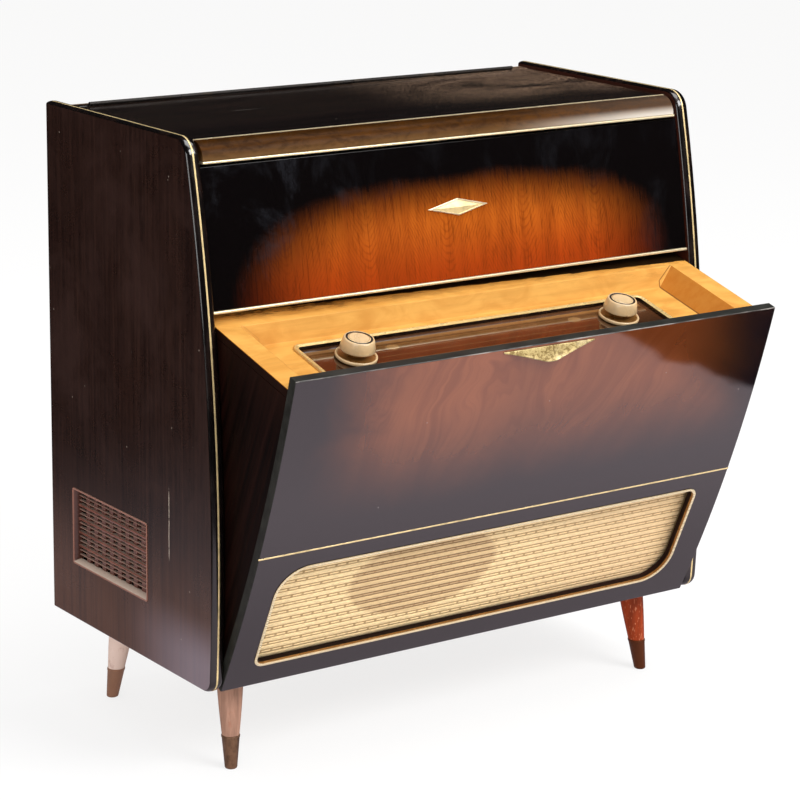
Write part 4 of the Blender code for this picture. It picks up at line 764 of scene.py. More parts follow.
def tray_maple(m):
    """Clear-lacquered maple: a soft mottle along the grain, painted shade on the well's splayed sides, grime
    where hands and dust reach, and a painted shadow along the rear edge.
    """
    grain = m.shut_noise((6.0, 90.0, 90.0), 5.0, 0.6)
    mottle = m.shut_noise((16.0, 30.0, 30.0), 4.0, 0.55, 0.8)
    shade = m.mix(m.span(mottle, 0.32, 0.70), rgb("maple"), rgb("maple_deep"))
    shade = m.mix(m.span(grain, 0.42, 0.74) * 0.45, shade, darker(rgb("maple_deep"), 0.8))
    x, y, _ = m.axes(m.shut_place())
    grime = m.shut_noise((34.0, 160.0, 160.0), 6.0, 0.72)
    # Painted shade: faces of the well that look sideways are a darker amber.
    aside = m.axes(m.node("ShaderNodeNewGeometry", output="Normal"))[0]
    painted_slope_shade = m.span(m.math("ABSOLUTE", aside), 0.3, 0.5) * m.span(grain, 0.35, 0.70, 1.0, 0.78)
    shade = m.mix(painted_slope_shade, shade, (0.440, 0.155, 0.020))
    aslope = (WELL_X - m.math("ABSOLUTE", x)) / WELL_SPLAY
    rearward = (RIM_FRONT + WELL_LENGTH + 0.001 - y) / WELL_REAR_SPLAY
    foot = (1.0 - m.span(m.math("ABSOLUTE", aslope - 1.0), 0.02, 0.05)) * m.span(rearward, 0.95, 1.0)
    mitre = 1.0 - m.span(m.math("ABSOLUTE", aslope - rearward), 0.02, 0.06)
    mitre = mitre * m.span(aslope, 0.0, 0.05) * (1.0 - m.span(aslope, 0.98, 1.02))
    joint = m.math("MAXIMUM", foot, mitre) * m.span(x, -0.2, 0.2, 0.15, 0.80)
    shade = m.mix(joint, shade, (0.110, 0.040, 0.010))
    behind = y + x * 0.038
    flecked = m.span(behind, 0.158, 0.184) * m.span(x, -0.26, -0.02, 1.0, 0.30) * m.span(grime, 0.50, 0.55)
    shade = m.mix(flecked * 0.85, shade, (0.085, 0.036, 0.012))
    shade = m.mix(m.span(grime, 0.66, 0.80) * 0.35, shade, (0.33, 0.150, 0.045))
    # Painted shadow: a near-black strip along the rear edge, where the tray runs in under the upper panel.
    rear = m.span(behind + (grime - 0.5) * 0.008, 0.1835, 0.1850)
    shade = m.mix(rear * 0.98, shade, (0.0050, 0.0025, 0.0015))
    bump = m.bump(grain, 0.06, 0.0003)
    return m.surface(shade, m.roughness(mottle, 0.40, 0.55), normal=bump, specular_ior_level=0.12)


def raw_board(m):
    """Unfinished board with a coarse straight grain."""
    grain = m.noise((3.0, 46.0, 46.0), 6.0, 0.65)
    shades = (0.190, 0.105, 0.050), (0.390, 0.250, 0.135)
    return m.two_tone(grain, (0.30, 0.72), *shades, (0.62, 0.80), (0.2, 0.0004))


def dark_board(m):
    """Board painted dull brown where it is seldom seen."""
    grain = m.noise((4.0, 50.0, 50.0), 6.0, 0.65)
    shades = (0.020, 0.011, 0.008), (0.060, 0.036, 0.024)
    return m.two_tone(grain, (0.30, 0.72), *shades, (0.50, 0.70), (0.15, 0.0003))


def hardboard(m):
    """Pressed fibre board with a faint mesh."""
    fibre = m.noise((160.0, 160.0, 160.0), 5.0, 0.7)
    cloud = m.texture(m.place(), 5.0, 4.0)
    shade = m.mix(m.span(fibre, 0.30, 0.72), (0.115, 0.060, 0.030), (0.235, 0.140, 0.075))
    shade = m.mix(m.span(cloud, 0.45, 0.75) * 0.4, shade, (0.085, 0.045, 0.025))
    return m.surface(shade, 0.78, normal=m.bump(fibre, 0.3, 0.0005))


def polished_brass(m):
    """Pale lacquered brass with faint drawn lines and a few dull spots."""
    drawn = m.noise((3.0, 700.0, 700.0), 3.0)
    dull = m.noise((30.0, 90.0, 90.0), 5.0, 0.65)
    shade = m.mix(m.span(dull, 0.55, 0.78) * 0.6, rgb("brass"), (0.520, 0.370, 0.190))
    rough = m.roughness(drawn, 0.20, 0.34) + m.span(dull, 0.5, 0.8) * 0.15
    return m.surface(shade, rough, metallic=0.55, normal=m.bump(drawn, 0.05, 0.0001))


def line_brass(m):
    """Thin yellow brass let into the wood."""
    dull = m.noise((60.0, 60.0, 60.0), 5.0, 0.65)
    shades = rgb("line_brass"), darker(rgb("line_brass"), 0.55)
    return m.two_tone(dull, (0.40, 0.75), *shades, (0.28, 0.42), metallic=0.35)


def cloudy_brass(m):
    """Gilt sheet of the handle, its lacquer gone cloudy in flakes."""
    flake = m.shut_noise((150.0, 150.0, 190.0), 5.0, 0.7, 1.0)
    large = m.shut_noise((46.0, 46.0, 70.0), 4.0, 0.6)
    shade = m.mix(m.span(flake, 0.42, 0.60), (0.540, 0.410, 0.175), (0.190, 0.120, 0.028))
    shade = m.mix(m.span(large, 0.50, 0.70) * 0.6, shade, (0.600, 0.490, 0.280))
    rough = m.span(flake, 0.35, 0.65, 0.24, 0.46)
    return m.surface(shade, rough, metallic=0.35, normal=m.bump(flake, 0.25, 0.0004))


def bezel_gold(m):
    """Rolled gold-coloured frame of the dial, browned a little."""
    dull = m.shut_noise((40.0, 120.0, 120.0), 4.0, 0.6)
    shades = (0.760, 0.560, 0.240), (0.520, 0.340, 0.110)
    return m.two_tone(dull, (0.40, 0.80), *shades, (0.22, 0.34), metallic=0.5)


def old_brass(m):
    """Brown tarnished brass, scuffed brighter near the floor."""
    spot = m.noise((80.0, 80.0, 60.0), 6.0, 0.7)
    x, y, z = m.axes(m.place())
    shade = m.mix(m.span(spot, 0.34, 0.68), rgb("old_brass"), darker(rgb("old_brass"), 0.40))
    shade = m.mix(m.span(x, 0.0, 0.2) * 0.9, shade, (0.095, 0.020, 0.003))
    shade = m.mix(m.span(y, 0.0, 0.15) * (1.0 - m.span(x, -0.2, 0.0)) * 0.9, shade, (0.380, 0.200, 0.125))
    scuff = m.span(spot, 0.60, 0.72) * (1.0 - m.span(z, 0.004, 0.040))
    shade = m.mix(scuff * 0.6, shade, (0.46, 0.33, 0.24))
    rough = m.roughness(spot, 0.36, 0.58)
    bump = m.bump(spot, 0.15, 0.0003)
    return m.surface(shade, rough, metallic=0.35, normal=bump, specular_ior_level=0.20)


def dark_bronze(m):
    """Blackened metal, rubbed a little."""
    rub = m.noise((40.0, 120.0, 120.0), 5.0)
    shades = (0.012, 0.008, 0.006), (0.060, 0.038, 0.020)
    return m.two_tone(rub, (0.50, 0.80), *shades, (0.35, 0.55), metallic=0.4)


def plain_steel(m):
    """Dull plated steel."""
    brush = m.noise((4.0, 240.0, 240.0), 4.0)
    return m.two_tone(brush, (0.3, 0.7), (0.33, 0.33, 0.32), (0.56, 0.55, 0.52), (0.34, 0.52), metallic=0.9)


def cream_enamel(m):
    """Cream stoved enamel with a fine pebble and yellowing."""
    pebble = m.bump(m.noise((420.0, 420.0, 420.0), 2.0), 0.08, 0.0002)
    age = m.noise((9.0, 9.0, 9.0), 5.0)
    shades = (0.70, 0.62, 0.46), (0.57, 0.46, 0.28)
    return m.two_tone(age, (0.35, 0.75), *shades, (0.26, 0.40), normal=pebble, coat_weight=0.3)


def black_rubber(m):
    """Soft black rubber, greyed with dust."""
    dust = m.noise((70.0, 70.0, 70.0), 5.0)
    shades = (0.014, 0.014, 0.015), (0.060, 0.058, 0.055)
    return m.two_tone(dust, (0.45, 0.8), *shades, (0.60, 0.82), (0.1, 0.0003))


def dark_felt(m):
    """Matted dark felt."""
    hair = m.noise((900.0, 900.0, 900.0), 3.0)
    return m.two_tone(hair, (0.3, 0.7), (0.020, 0.017, 0.016), (0.070, 0.060, 0.056), 0.95, (0.6, 0.0006))


def brown_plastic(m):
    """Moulded brown plastic, with painted shade on its inner walls and deep in the vent, a painted highlight on
    the frame's outer lip, and dust with a painted highlight on faces that look up.
    """
    swirl = m.noise((30.0, 30.0, 30.0), 5.0, 0.6, 1.5)
    aside, _, up = m.axes(m.node("ShaderNodeNewGeometry", output="Normal"))
    x, _, z = m.axes(m.place())
    shade = m.mix(m.span(swirl, 0.35, 0.7), darker(rgb("vent"), 0.7), rgb("vent"))
    # Painted shade: faces that don't look out of the side, such as inner walls and blade undersides, are
    # darker.
    out = m.span(m.math("ABSOLUTE", aside), 0.30, 0.80)
    shade = m.mix((1.0 - out) * 0.75, shade, darker(rgb("vent"), 0.16))
    off = m.math("ABSOLUTE", x)
    # Painted shade: deep in the vent, behind the blades, is darker.
    sunk = m.span(off, HALF_WIDTH - 0.0092, HALF_WIDTH - 0.0080, 0.70, 0.0)
    shade = m.mix(sunk, shade, darker(rgb("vent"), 0.40))
    # Painted highlight: the frame's outer lip is paler.
    shade = m.mix(m.span(off, HALF_WIDTH - 0.0004, HALF_WIDTH + 0.0006) * 0.45, shade, (0.420, 0.190, 0.130))
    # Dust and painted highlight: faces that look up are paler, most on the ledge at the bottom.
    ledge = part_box("vent_grille_left")[0].z
    low = m.span(z, ledge + 0.009, ledge + 0.013, 0.95, 0.45)
    shade = m.mix(m.span(up, 0.35, 0.9) * low, shade, (0.680, 0.540, 0.440))
    rough = m.roughness(swirl, 0.26, 0.40)
    return m.surface(shade, rough, specular_ior_level=0.35, coat_weight=0.5, coat_roughness=0.10)


def ivory_plastic(m):
    """Cream plastic with a warm cloud in it and a fine polish."""
    cloud = m.noise((34.0, 34.0, 34.0), 4.0, 0.55, 0.6)
    shades = rgb("ivory"), darker(rgb("ivory"), 0.80)
    return m.two_tone(cloud, (0.32, 0.70), *shades, (0.18, 0.30), coat_weight=0.4, coat_roughness=0.08)


def gilt_plastic(m):
    """Gold-brown band at a knob's neck, round its face and inside the bead."""
    swirl = m.noise((40.0, 40.0, 40.0), 3.0)
    shades = (0.260, 0.115, 0.026), (0.310, 0.145, 0.038)
    return m.two_tone(swirl, (0.3, 0.7), *shades, (0.22, 0.34), metallic=0.4)


def dial_print(m):
    """Dark brown glass, near black towards its front and left and browner towards its rear right as a painted
    reflection, with fine gold scale lines, short marks along them, and two pale lamp spots.
    """
    where = m.node("ShaderNodeUVMap", {"uv_map": "dial"})
    u, v, _ = m.axes(where)
    cloud = m.texture(where, 14.0, 4.0)
    shade = m.mix(m.span(cloud, 0.35, 0.7), darker(rgb("dial"), 0.7), rgb("dial"))
    # Painted reflection: the glass keeps its brown towards the rear right and goes near black towards the front
    # and left.
    deep = 1.0 - m.span(v, 0.010, 0.075) * m.span(u, -0.24, 0.05, 0.30, 1.0)
    shade = m.mix(deep * 0.85, shade, (0.020, 0.0085, 0.0045))
    inside = m.span(u, -0.205, -0.195) * (1.0 - m.span(u, 0.195, 0.205))
    row = m.math("ABSOLUTE", m.math("FRACT", v / 0.0125 + 0.5) - 0.5) * 0.0125
    rule = (1.0 - m.span(row, 0.00018, 0.00050)) * inside
    rule = rule * m.span(v, 0.004, 0.006) * (1.0 - m.span(v, 0.068, 0.070))
    tick = m.math("ABSOLUTE", m.math("FRACT", u / 0.0085) - 0.5) * 0.0085
    near = 1.0 - m.span(row, 0.0012, 0.0022)
    ticks = (1.0 - m.span(tick, 0.00020, 0.00055)) * near * inside
    shade = m.mix(rule * 0.20 + ticks * 0.10, shade, (0.480, 0.300, 0.110))
    spot = m.math("ABSOLUTE", u) - 0.146
    lift = (v - 0.058) * 1.6
    lamp = 1.0 - m.span(m.math("SQRT", spot * spot + lift * lift), 0.008, 0.013)
    shade = m.mix(lamp * 0.35, shade, (0.420, 0.260, 0.110))
    return m.surface(shade, m.roughness(cloud, 0.05, 0.12), coat_weight=1.0, coat_roughness=0.03)


def behind_cloth(m, x, z):
    """How far a point of the cloth lies over the loudspeaker's hole."""
    a = (x - SPEAKER_X) / 0.118
    b = (z - (SPEAKER_Z - PIVOT_Z)) / 0.067
    return 1.0 - m.span(a * a + b * b, 0.86, 1.06)


def cloth_ribs(m):
    """Pale gold yarn, spun along each rib, with a dark fleck at steps along the thin ribs, and painted shade
    where it lies over the loudspeaker's hole.
    """
    x, _, z = m.axes(m.shut_place())
    yarn = m.shut_noise((160.0, 900.0, 900.0), 3.0)
    slub = m.shut_noise((24.0, 1.0, 160.0), 4.0)
    shade = m.mix(m.span(yarn, 0.30, 0.70), rgb("cloth"), darker(rgb("cloth"), 0.72))
    shade = m.mix(m.span(slub, 0.50, 0.75) * 0.35, shade, darker(rgb("cloth"), 0.55))
    pitch = bpy.context.scene.cabinet_receiver.rib_pitch
    tall = (z - (GRILLE_LOW - PIVOT_Z)) / pitch
    step = m.math("FRACT", x / 0.0165 + m.math("FLOOR", tall) * 0.5)
    fleck = m.span(step, 0.20, 0.28) * (1.0 - m.span(step, 0.42, 0.50))
    within = m.math("FRACT", tall)
    thin = m.span(within, 0.68, 0.70) * (1.0 - m.span(within, 0.94, 0.96))
    shade = m.mix(fleck * thin * m.span(slub, 0.34, 0.52) * 0.80, shade, (0.260, 0.150, 0.050))
    # Painted shade: the cloth is darker where the loudspeaker's dark hole lies behind it.
    over = behind_cloth(m, x, z)
    shade = m.mix(over * 0.50, shade, (0.500, 0.300, 0.130))
    shade = m.mix(over * thin * 0.45, shade, (0.240, 0.120, 0.045))
    shade = m.mix(m.span(x, -0.05, 0.30) * 0.40, shade, (0.620, 0.390, 0.220))
    return m.surface(shade, 0.62, normal=m.bump(yarn, 0.35, 0.0003), sheen_weight=0.25, sheen_roughness=0.4)


def cloth_ground(m):
    """Darker open weave between the ribs, with painted shade over the loudspeaker's hole."""
    x, _, z = m.axes(m.shut_place())
    weave = m.shut_noise((1100.0, 1.0, 1100.0), 2.0)
    shade = m.mix(m.span(weave, 0.3, 0.7), darker(rgb("cloth_deep"), 0.6), rgb("cloth_deep"))
    # Painted shade of the loudspeaker's hole behind the cloth.
    shade = m.mix(behind_cloth(m, x, z) * 0.75, shade, (0.150, 0.078, 0.030))
    return m.surface(shade, 0.85, normal=m.bump(weave, 0.4, 0.0003))


def leg_stain(m, worn):
    """Turned beech with its red stain, or pale bare wood for worn stain and painted light, painted paler still
    towards the back.
    """
    grain = m.noise((110.0, 110.0, 9.0), 6.0, 0.65)
    fleck = m.noise((420.0, 420.0, 150.0), 3.0)
    scuff = m.noise((38.0, 38.0, 24.0), 6.0, 0.7)
    shade = m.mix(m.span(grain, 0.30, 0.72), darker(rgb("leg"), 0.50), rgb("leg"))
    shade = m.mix(m.span(fleck, 0.60, 0.68) * 0.7, shade, (0.600, 0.230, 0.120))
    bare = m.mix(m.span(grain, 0.35, 0.75), rgb("leg_worn"), darker(rgb("leg_worn"), 0.55))
    # Painted light: the bare wood is paler towards the back, where the rear leg stands lit.
    y = m.axes(m.place())[1]
    bare = m.mix(m.span(y, -0.05, 0.15), bare, (0.820, 0.620, 0.540))
    if worn:
        shade = m.mix(m.span(scuff, 0.24, 0.46), shade, bare)
    else:
        shade = m.mix(m.span(scuff, 0.66, 0.76) * 0.5, shade, bare)
    bump = m.bump(grain, 0.15, 0.0004)
    return m.surface(shade, m.roughness(scuff, 0.44, 0.60), normal=bump, specular_ior_level=0.12)


def leg_stained(m):
    return leg_stain(m, False)


# The left legs' pale wood: worn stain and painted light.
def leg_worn(m):
    return leg_stain(m, True)


def paper_cone(m):
    """Grey-black pressed paper."""
    fibre = m.noise((300.0, 300.0, 300.0), 4.0, 0.7)
    return m.two_tone(fibre, (0.3, 0.7), (0.020, 0.018, 0.017), (0.060, 0.055, 0.050), 0.85, (0.4, 0.0005))


MADE = {}


def finish_of(make):
    """The material that a finish's function makes, made once."""
    if make not in MADE:
        MADE[make] = make(Finish(make.__name__))
    return MADE[make]


# What repeats
def copies_tree(name, inputs, points):
    """Geometry nodes that put the object's own mesh on points, and give it a finish."""
    tree = bpy.data.node_groups.new(name, "GeometryNodeTree")
    sockets = [("Shape", "NodeSocketGeometry")] + inputs + [("Finish", "NodeSocketMaterial")]
    for label, kind in sockets:
        tree.interface.new_socket(label, in_out="INPUT", socket_type=kind)
    tree.interface.new_socket("Copies", in_out="OUTPUT", socket_type="NodeSocketGeometry")
    nodes = Nodes(tree)
    given = nodes.node("NodeGroupInput").socket.node.outputs
    given = {label: Value(nodes, given[label]) for label, kind in sockets}
    links = points(nodes, given)
    links["Instance"] = given["Shape"]
    copies = nodes.node("GeometryNodeInstanceOnPoints", {}, links)
    real = nodes.node("GeometryNodeRealizeInstances", {}, {"Geometry": copies})
    done = nodes.node("GeometryNodeSetMaterial", {}, {"Geometry": real, "Material": given["Finish"]})
    nodes.node("NodeGroupOutput", {}, {"Copies": done})
    return tree


def row_points(nodes, given):
    line = {"Count": given["Count"], "Offset": given["Step"]}
    return {"Points": nodes.node("GeometryNodeMeshLine", {"mode": "OFFSET"}, line)}


def ring_points(nodes, given):
    circle_inputs = {"Vertices": given["Count"], "Radius": given["Radius"]}
    outward = {"Vector": nodes.node("GeometryNodeInputPosition")}
    turn = nodes.node("FunctionNodeAlignRotationToVector", {"axis": "X"}, outward)
    return {"Points": nodes.node("GeometryNodeMeshCircle", {}, circle_inputs), "Rotation": turn}


LAYOUTS = {
    "row": (("Step", "NodeSocketVector"), row_points),
    "ring": (("Radius", "NodeSocketFloat"), ring_points),
}


def copies_of(form, kind, finish, **values):
    """Mesh of a shape repeated in a row or a ring."""
    name = kind + "_of_copies"
    tree = bpy.data.node_groups.get(name)
    if tree is None:
        measure, points = LAYOUTS[kind]
        tree = copies_tree(name, [("Count", "NodeSocketInt"), measure], points)
    obj = loose_object("copies", solid(form))
    modifier = obj.modifiers.new("copies", "NODES")
    modifier.node_group = tree
    values["Finish"] = finish_of(finish)
    for item in tree.interface.items_tree:
        if item.in_out == "INPUT" and item.name in values:
            modifier[item.identifier] = values[item.name]
    shown = obj.evaluated_get(bpy.context.evaluated_depsgraph_get())
    mesh = bpy.data.meshes.new_from_object(shown)
    bpy.data.objects.remove(obj)
    for polygon in mesh.polygons:
        polygon.use_smooth = True
    mesh.set_sharp_from_angle(angle=math.radians(SHARP_ANGLE))
    return mesh


# Carcass
def brass_strip(name, node, body, radius, proud=0.0):
    """A polished strip along a CAD node, its front corners rounded."""
    left, right, back, front, low, high = lines_of(node)
    outline = round_front(back, front + proud, low, high, radius)
    piece(name, solid(across_prism(outline, left, right)), [polished_brass], body, [node])


class CABINET_OT_side_panels(Operator):
    """Side panels with half-round edges and the vent's opening, and the brass line in each edge"""

    bl_idname = "cabinet.side_panels"
    bl_label = "Side panels"

    def execute(self, context):
        sizes = context.scene.cabinet_carcass
        for name, hand in SIDES:
            self.board(sizes, name, hand)
            self.line(sizes, name, hand)
        return {"FINISHED"}

    def board(self, sizes, name, hand):
        groove = sizes.line_width / 2 + SEAT_GAP
        half = SIDE_THICKNESS / 2 - groove
        layers = []
        for a in spread(0.0, math.pi / 2, 8):
            layers.append((half * (1 - math.cos(a)), sizes.edge_rounding * (1 - math.sin(a))))
        layers.append((half, sizes.line_depth + SEAT_GAP))
        layers += [(SIDE_THICKNESS - into, inset) for into, inset in reversed(layers)]
        rings = []
        for into, inset in layers:
            rings.append([at(hand * (HALF_WIDTH - into), f, z) for f, z in side_edge(inset)])
        ends = (hand * (HALF_WIDTH + SIDE_THICKNESS), hand * (HALF_WIDTH - 2 * SIDE_THICKNESS))
        shape = carved(solid(loft(rings)), across_prism(vent_outline(name, 0.0), *ends))
        finishes = [side_veneer, edge_lacquer]
        nodes = ["side_panel_" + name]
        piece("veneered_side_" + name, shape, finishes, "cabinet", nodes, self.zone, even=True)

    def zone(self, face):
        flat = 0.97
        return 0 if abs(face.normal.x) > flat else 1

    def line(self, sizes, name, hand):
        middle = HALF_WIDTH - SIDE_THICKNESS / 2
        depth, crown = sizes.line_depth, 0.00025
        section = ((-1.0, depth), (-1.0, 0.0), (-0.5, -crown), (0.5, -crown), (1.0, 0.0), (1.0, depth))
        lines = []
        for across, inset in section:
            x = hand * (middle + across * sizes.line_width / 2)
            lines.append([at(x, f, z) for f, z in side_edge(inset)])
        shape = solid(loft(list(zip(*lines))))
        piece("brass_line_" + name, shape, [line_brass], "cabinet", ["edge_inlay_" + name])


def vent_outline(name, inward):
    """Outline, forward and up, of a side vent's opening, drawn in by inward."""
    _, _, back, front, low, high = lines_of("vent_grille_" + name)
    grow = SEAT_GAP - inward
    radius = max(0.004 - inward * 0.6, 0.0008)
    return rounded_rectangle(back - grow, front + grow, low - grow, high + grow, [radius] * 4, 5)


class CABINET_OT_vents(Operator):
    """Moulded side vents: a sloped frame, thick and thin blades, and posts behind them"""

    bl_idname = "cabinet.vents"
    bl_label = "Side vents"

    def execute(self, context):
        sizes = context.scene.cabinet_carcass
        for name, hand in SIDES:
            self.moulding(sizes, name, hand)
            self.bars(sizes, name, hand)
        return {"FINISHED"}

    def moulding(self, sizes, name, hand):
        width, back = sizes.vent_frame, 0.0110
        profile = ((SEAT_GAP, -0.0006), (0.0012, -0.0011), (0.0026, -0.0009), (0.0036, 0.0004))
        profile += ((width, 0.0066), (width, back), (SEAT_GAP, back))
        rings = []
        for inward, depth in profile:
            x = hand * (HALF_WIDTH - depth)
            rings.append([at(x, f, z) for f, z in vent_outline(name, inward)])
        shape = solid(loft(rings, closed=True))
        nodes = ["vent_grille_" + name]
        piece("vent_frame_" + name, shape, [brown_plastic], "cabinet", nodes, sharp=30.0)

    def bars(self, sizes, name, hand):
        _, _, back, front, low, high = lines_of("vent_grille_" + name)
        tuck = sizes.vent_frame - 0.0005
        start, end = back + tuck, front - tuck
        bottom, top = low + sizes.vent_frame, high - sizes.vent_frame
        pitch = (top - bottom) / (sizes.vent_rows + 1)
        group = 3
        count = sizes.vent_rows // group

        def blade(height, tall, near):
            far, half = 0.0120, tall / 2
            section = ((far, -half), (near, -half), (near - 0.0007, 0.0), (near, half), (far, half))
            ends = (start, end)
            return loft([[at(hand * (HALF_WIDTH - d), f, height + b) for d, b in section] for f in ends])

        rows = [("thick", blade(bottom + group * pitch, pitch * 0.50, 0.0064), count)]
        for i in range(1, group):
            rows.append(("thin_%d" % i, blade(bottom + i * pitch, pitch * 0.27, 0.0078), count + 1))
        for kind, form, many in rows:
            mesh = copies_of(form, "row", brown_plastic, Count=many, Step=(0.0, 0.0, group * pitch))
            settle("vent_blades_%s_%s" % (kind, name), mesh, "cabinet")

        run = (end - start) / sizes.vent_columns
        near, far, half = 0.0090, 0.0128, run * 0.23
        section = ((far, -half), (near, -half), (near, half), (far, half))
        first = start + run
        post = loft([[at(hand * (HALF_WIDTH - d), first + b, z) for d, b in section] for z in (bottom, top)])
        mesh = copies_of(post, "row", brown_plastic, Count=sizes.vent_columns - 1, Step=(0.0, -run, 0.0))
        settle("vent_posts_" + name, mesh, "cabinet")


class CABINET_OT_upper_front(Operator):
    """Upper front panel with its brass trim and a plain brass lozenge"""

    bl_idname = "cabinet.upper_front"
    bl_label = "Upper front"

    def execute(self, context):
        left, right, _, _, low, high = lines_of("upper_front_panel")
        outline = front_slab(low, high, PANEL_RECESS, PANEL_BACK, 24)
        shape = soften(solid(across_prism(outline, left, right)), context.scene.cabinet_carcass.bevel)
        nodes = ["upper_front_panel"]
        piece("burst_panel", shape, [upper_veneer], "cabinet", nodes, even=True)
        brass_strip("upper_panel_trim", "front_trim", "cabinet", 0.0014, 0.0004)
        self.lozenge()
        return {"FINISHED"}

    def lozenge(self):
        left, right, _, _, low, high = lines_of("front_ornament")
        middle = (low + high) / 2
        wide, tall = (right - left) / 2, (high - low) / 2
        corners = ((-wide, 0.0), (0.0, tall), (wide, 0.0), (0.0, -tall))
        layers = ((1.0, 0.0, 0), (1.0, 0.0011, 0), (0.93, 0.0022, 0), (0.84, 0.0022, 0))
        layers += ((0.82, 0.0013, 1), (0.0, 0.0030, 1))
        rings = []
        for share, lift, mark in layers:
            ring = []
            for (x0, z0), (x1, z1) in zip(corners, corners[1:] + corners[:1]):
                for t in (0.0, 0.25, 0.5, 0.75):
                    x, z = share * (x0 + (x1 - x0) * t), middle + share * (z0 + (z1 - z0) * t)
                    ring.append(at(x, front_at(z, PANEL_RECESS) + SEAT_GAP + lift, z))
            rings.append(ring)
        shape = solid(loft(rings, zones=[mark for share, lift, mark in layers]))
        finishes = [polished_brass, line_brass]
        piece("brass_lozenge", shape, finishes, "cabinet", ["front_ornament"], sharp=14.0)


class CABINET_OT_lid(Operator):
    """Lid board, its rounded front edge and the two brass strips on it"""

    bl_idname = "cabinet.lid"
    bl_label = "Lid"

    def execute(self, context):
        left, right, back, front, low, high = lines_of("lid_board")
        outline = [(back, low), (front, low), (front, high), (back, high)]
        shape = soften(solid(across_prism(outline, left, right)), context.scene.cabinet_carcass.bevel)
        finishes = [lid_veneer, dark_board]
        not_under = facing(Vector((0.0, 0.0, 1.0)), -0.5)
        piece("lid_top_board", shape, finishes, "lid", ["lid_board"], not_under, even=True)

        left, right, back, front, low, high = lines_of("lid_nosing")
        outline = [(back, low)]
        for a in spread(0.0, math.pi / 2, 24):
            outline.append((back + (front - back) * math.cos(a), low + (high - low) * math.sin(a)))
        shape = soften(solid(across_prism(outline, left, right)), 0.0006, angle=50.0)
        piece("lid_round_edge", shape, [nosing_veneer], "lid", ["lid_nosing"], even=True)

        left, right, back, front, low, high = lines_of("lid_trim_upper")
        crown = ((back + front) / 2, high + 0.0003)
        outline = [(back, low), (front, low), (front, high), crown, (back, high)]
        shape = solid(across_prism(outline, left, right))
        piece("lid_strip_upper", shape, [polished_brass], "lid", ["lid_trim_upper"], sharp=60.0)
        brass_strip("lid_strip_lower", "lid_trim_lower", "lid", 0.0013)
        return {"FINISHED"}


class CABINET_OT_legs(Operator):
    """Splayed tapering legs in tarnished ferrules"""

    bl_idname = "cabinet.legs"
    bl_label = "Legs"

    def execute(self, context):
        sizes = context.scene.cabinet_carcass
        tall, tip, thick = sizes.ferrule_height, sizes.ferrule_tip, sizes.leg_foot
        ferrule = ((0.0, tip - 0.0016), (0.0006, tip - 0.0006), (0.0018, tip))
        ferrule += ((tall - 0.0030, thick - 0.0001), (tall - 0.0026, thick + 0.0004))
        ferrule += ((tall - 0.0004, thick + 0.0005), (tall, thick))
        for name in ("front_left", "front_right", "rear_left", "rear_right"):
            foot_node, head_node = "ferrule_" + name, "leg_" + name
            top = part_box(head_node)[1].z
            foot, head = self.centre(foot_node, 0.0), self.centre(head_node, top)

            def ring(height, radius):
                middle = foot.lerp(head, height / top)
                return [Vector((x, y, height)) for x, y in circle(middle, radius, 40)]

            shape, nodes = solid(loft([ring(height, radius) for height, radius in ferrule])), [foot_node]
            piece("brass_foot_" + name, shape, [old_brass], "cabinet", nodes, sharp=BLUNT_ANGLE)

            start = tall + SEAT_GAP
            rings = []
            for t in spread(0.0, 1.0, 10):
                swell = (sizes.leg_top - thick) * (t + 0.10 * math.sin(math.pi * t))
                rings.append(ring(start + (top - start) * t, thick - 0.0003 + swell))
            # The left legs take the pale wood, worn and painted as lit.
            finish = leg_worn if name.endswith("left") else leg_stained
            piece("turned_leg_" + name, solid(loft(rings)), [finish], "cabinet", [head_node])
        return {"FINISHED"}

    def centre(self, node, height):
        """Middle of a CAD node's level end."""
        level = [v.co.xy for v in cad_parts[node].data.vertices if abs(v.co.z - height) < LEVEL]
        return sum(level, Vector((0.0, 0.0))) / len(level)


class CABINET_OT_back_screws(Operator):
    """Round-headed screws that hold the back panel"""

    bl_idname = "cabinet.back_screws"
    bl_label = "Back panel screws"

    def execute(self, context):
        radius = context.scene.cabinet_carcass.screw_radius
        left, right, back, _, low, high = lines_of("back_panel")
        inset, spans = 3.2 * radius, 5
        wide, tall = (right - left - 2 * inset) / spans, (high - low - 2 * inset) / spans
        rows = (
            ("low", left + inset, low + inset, spans + 1, (wide, 0.0, 0.0)),
            ("high", left + inset, high - inset, spans + 1, (wide, 0.0, 0.0)),
            ("left", left + inset, low + inset + tall, spans - 1, (0.0, 0.0, tall)),
            ("right", right - inset, low + inset + tall, spans - 1, (0.0, 0.0, tall)),
        )
        profile = [(0.0, -0.0006), (radius, -0.0006), (radius, 0.0002), (radius * 0.7, 0.0011)]
        profile += [(radius * 0.25, 0.0014), (radius * 0.22, 0.0009), (0.0, 0.0009)]
        for name, x, z, count, step in rows:
            stand = Matrix.Translation(at(x, back, z)) @ Matrix.Rotation(-math.pi / 2, 4, "X")
            mesh = copies_of(turned(profile, stand, 12), "row", plain_steel, Count=count, Step=step)
            settle("back_screws_" + name, mesh, "cabinet")
        return {"FINISHED"}


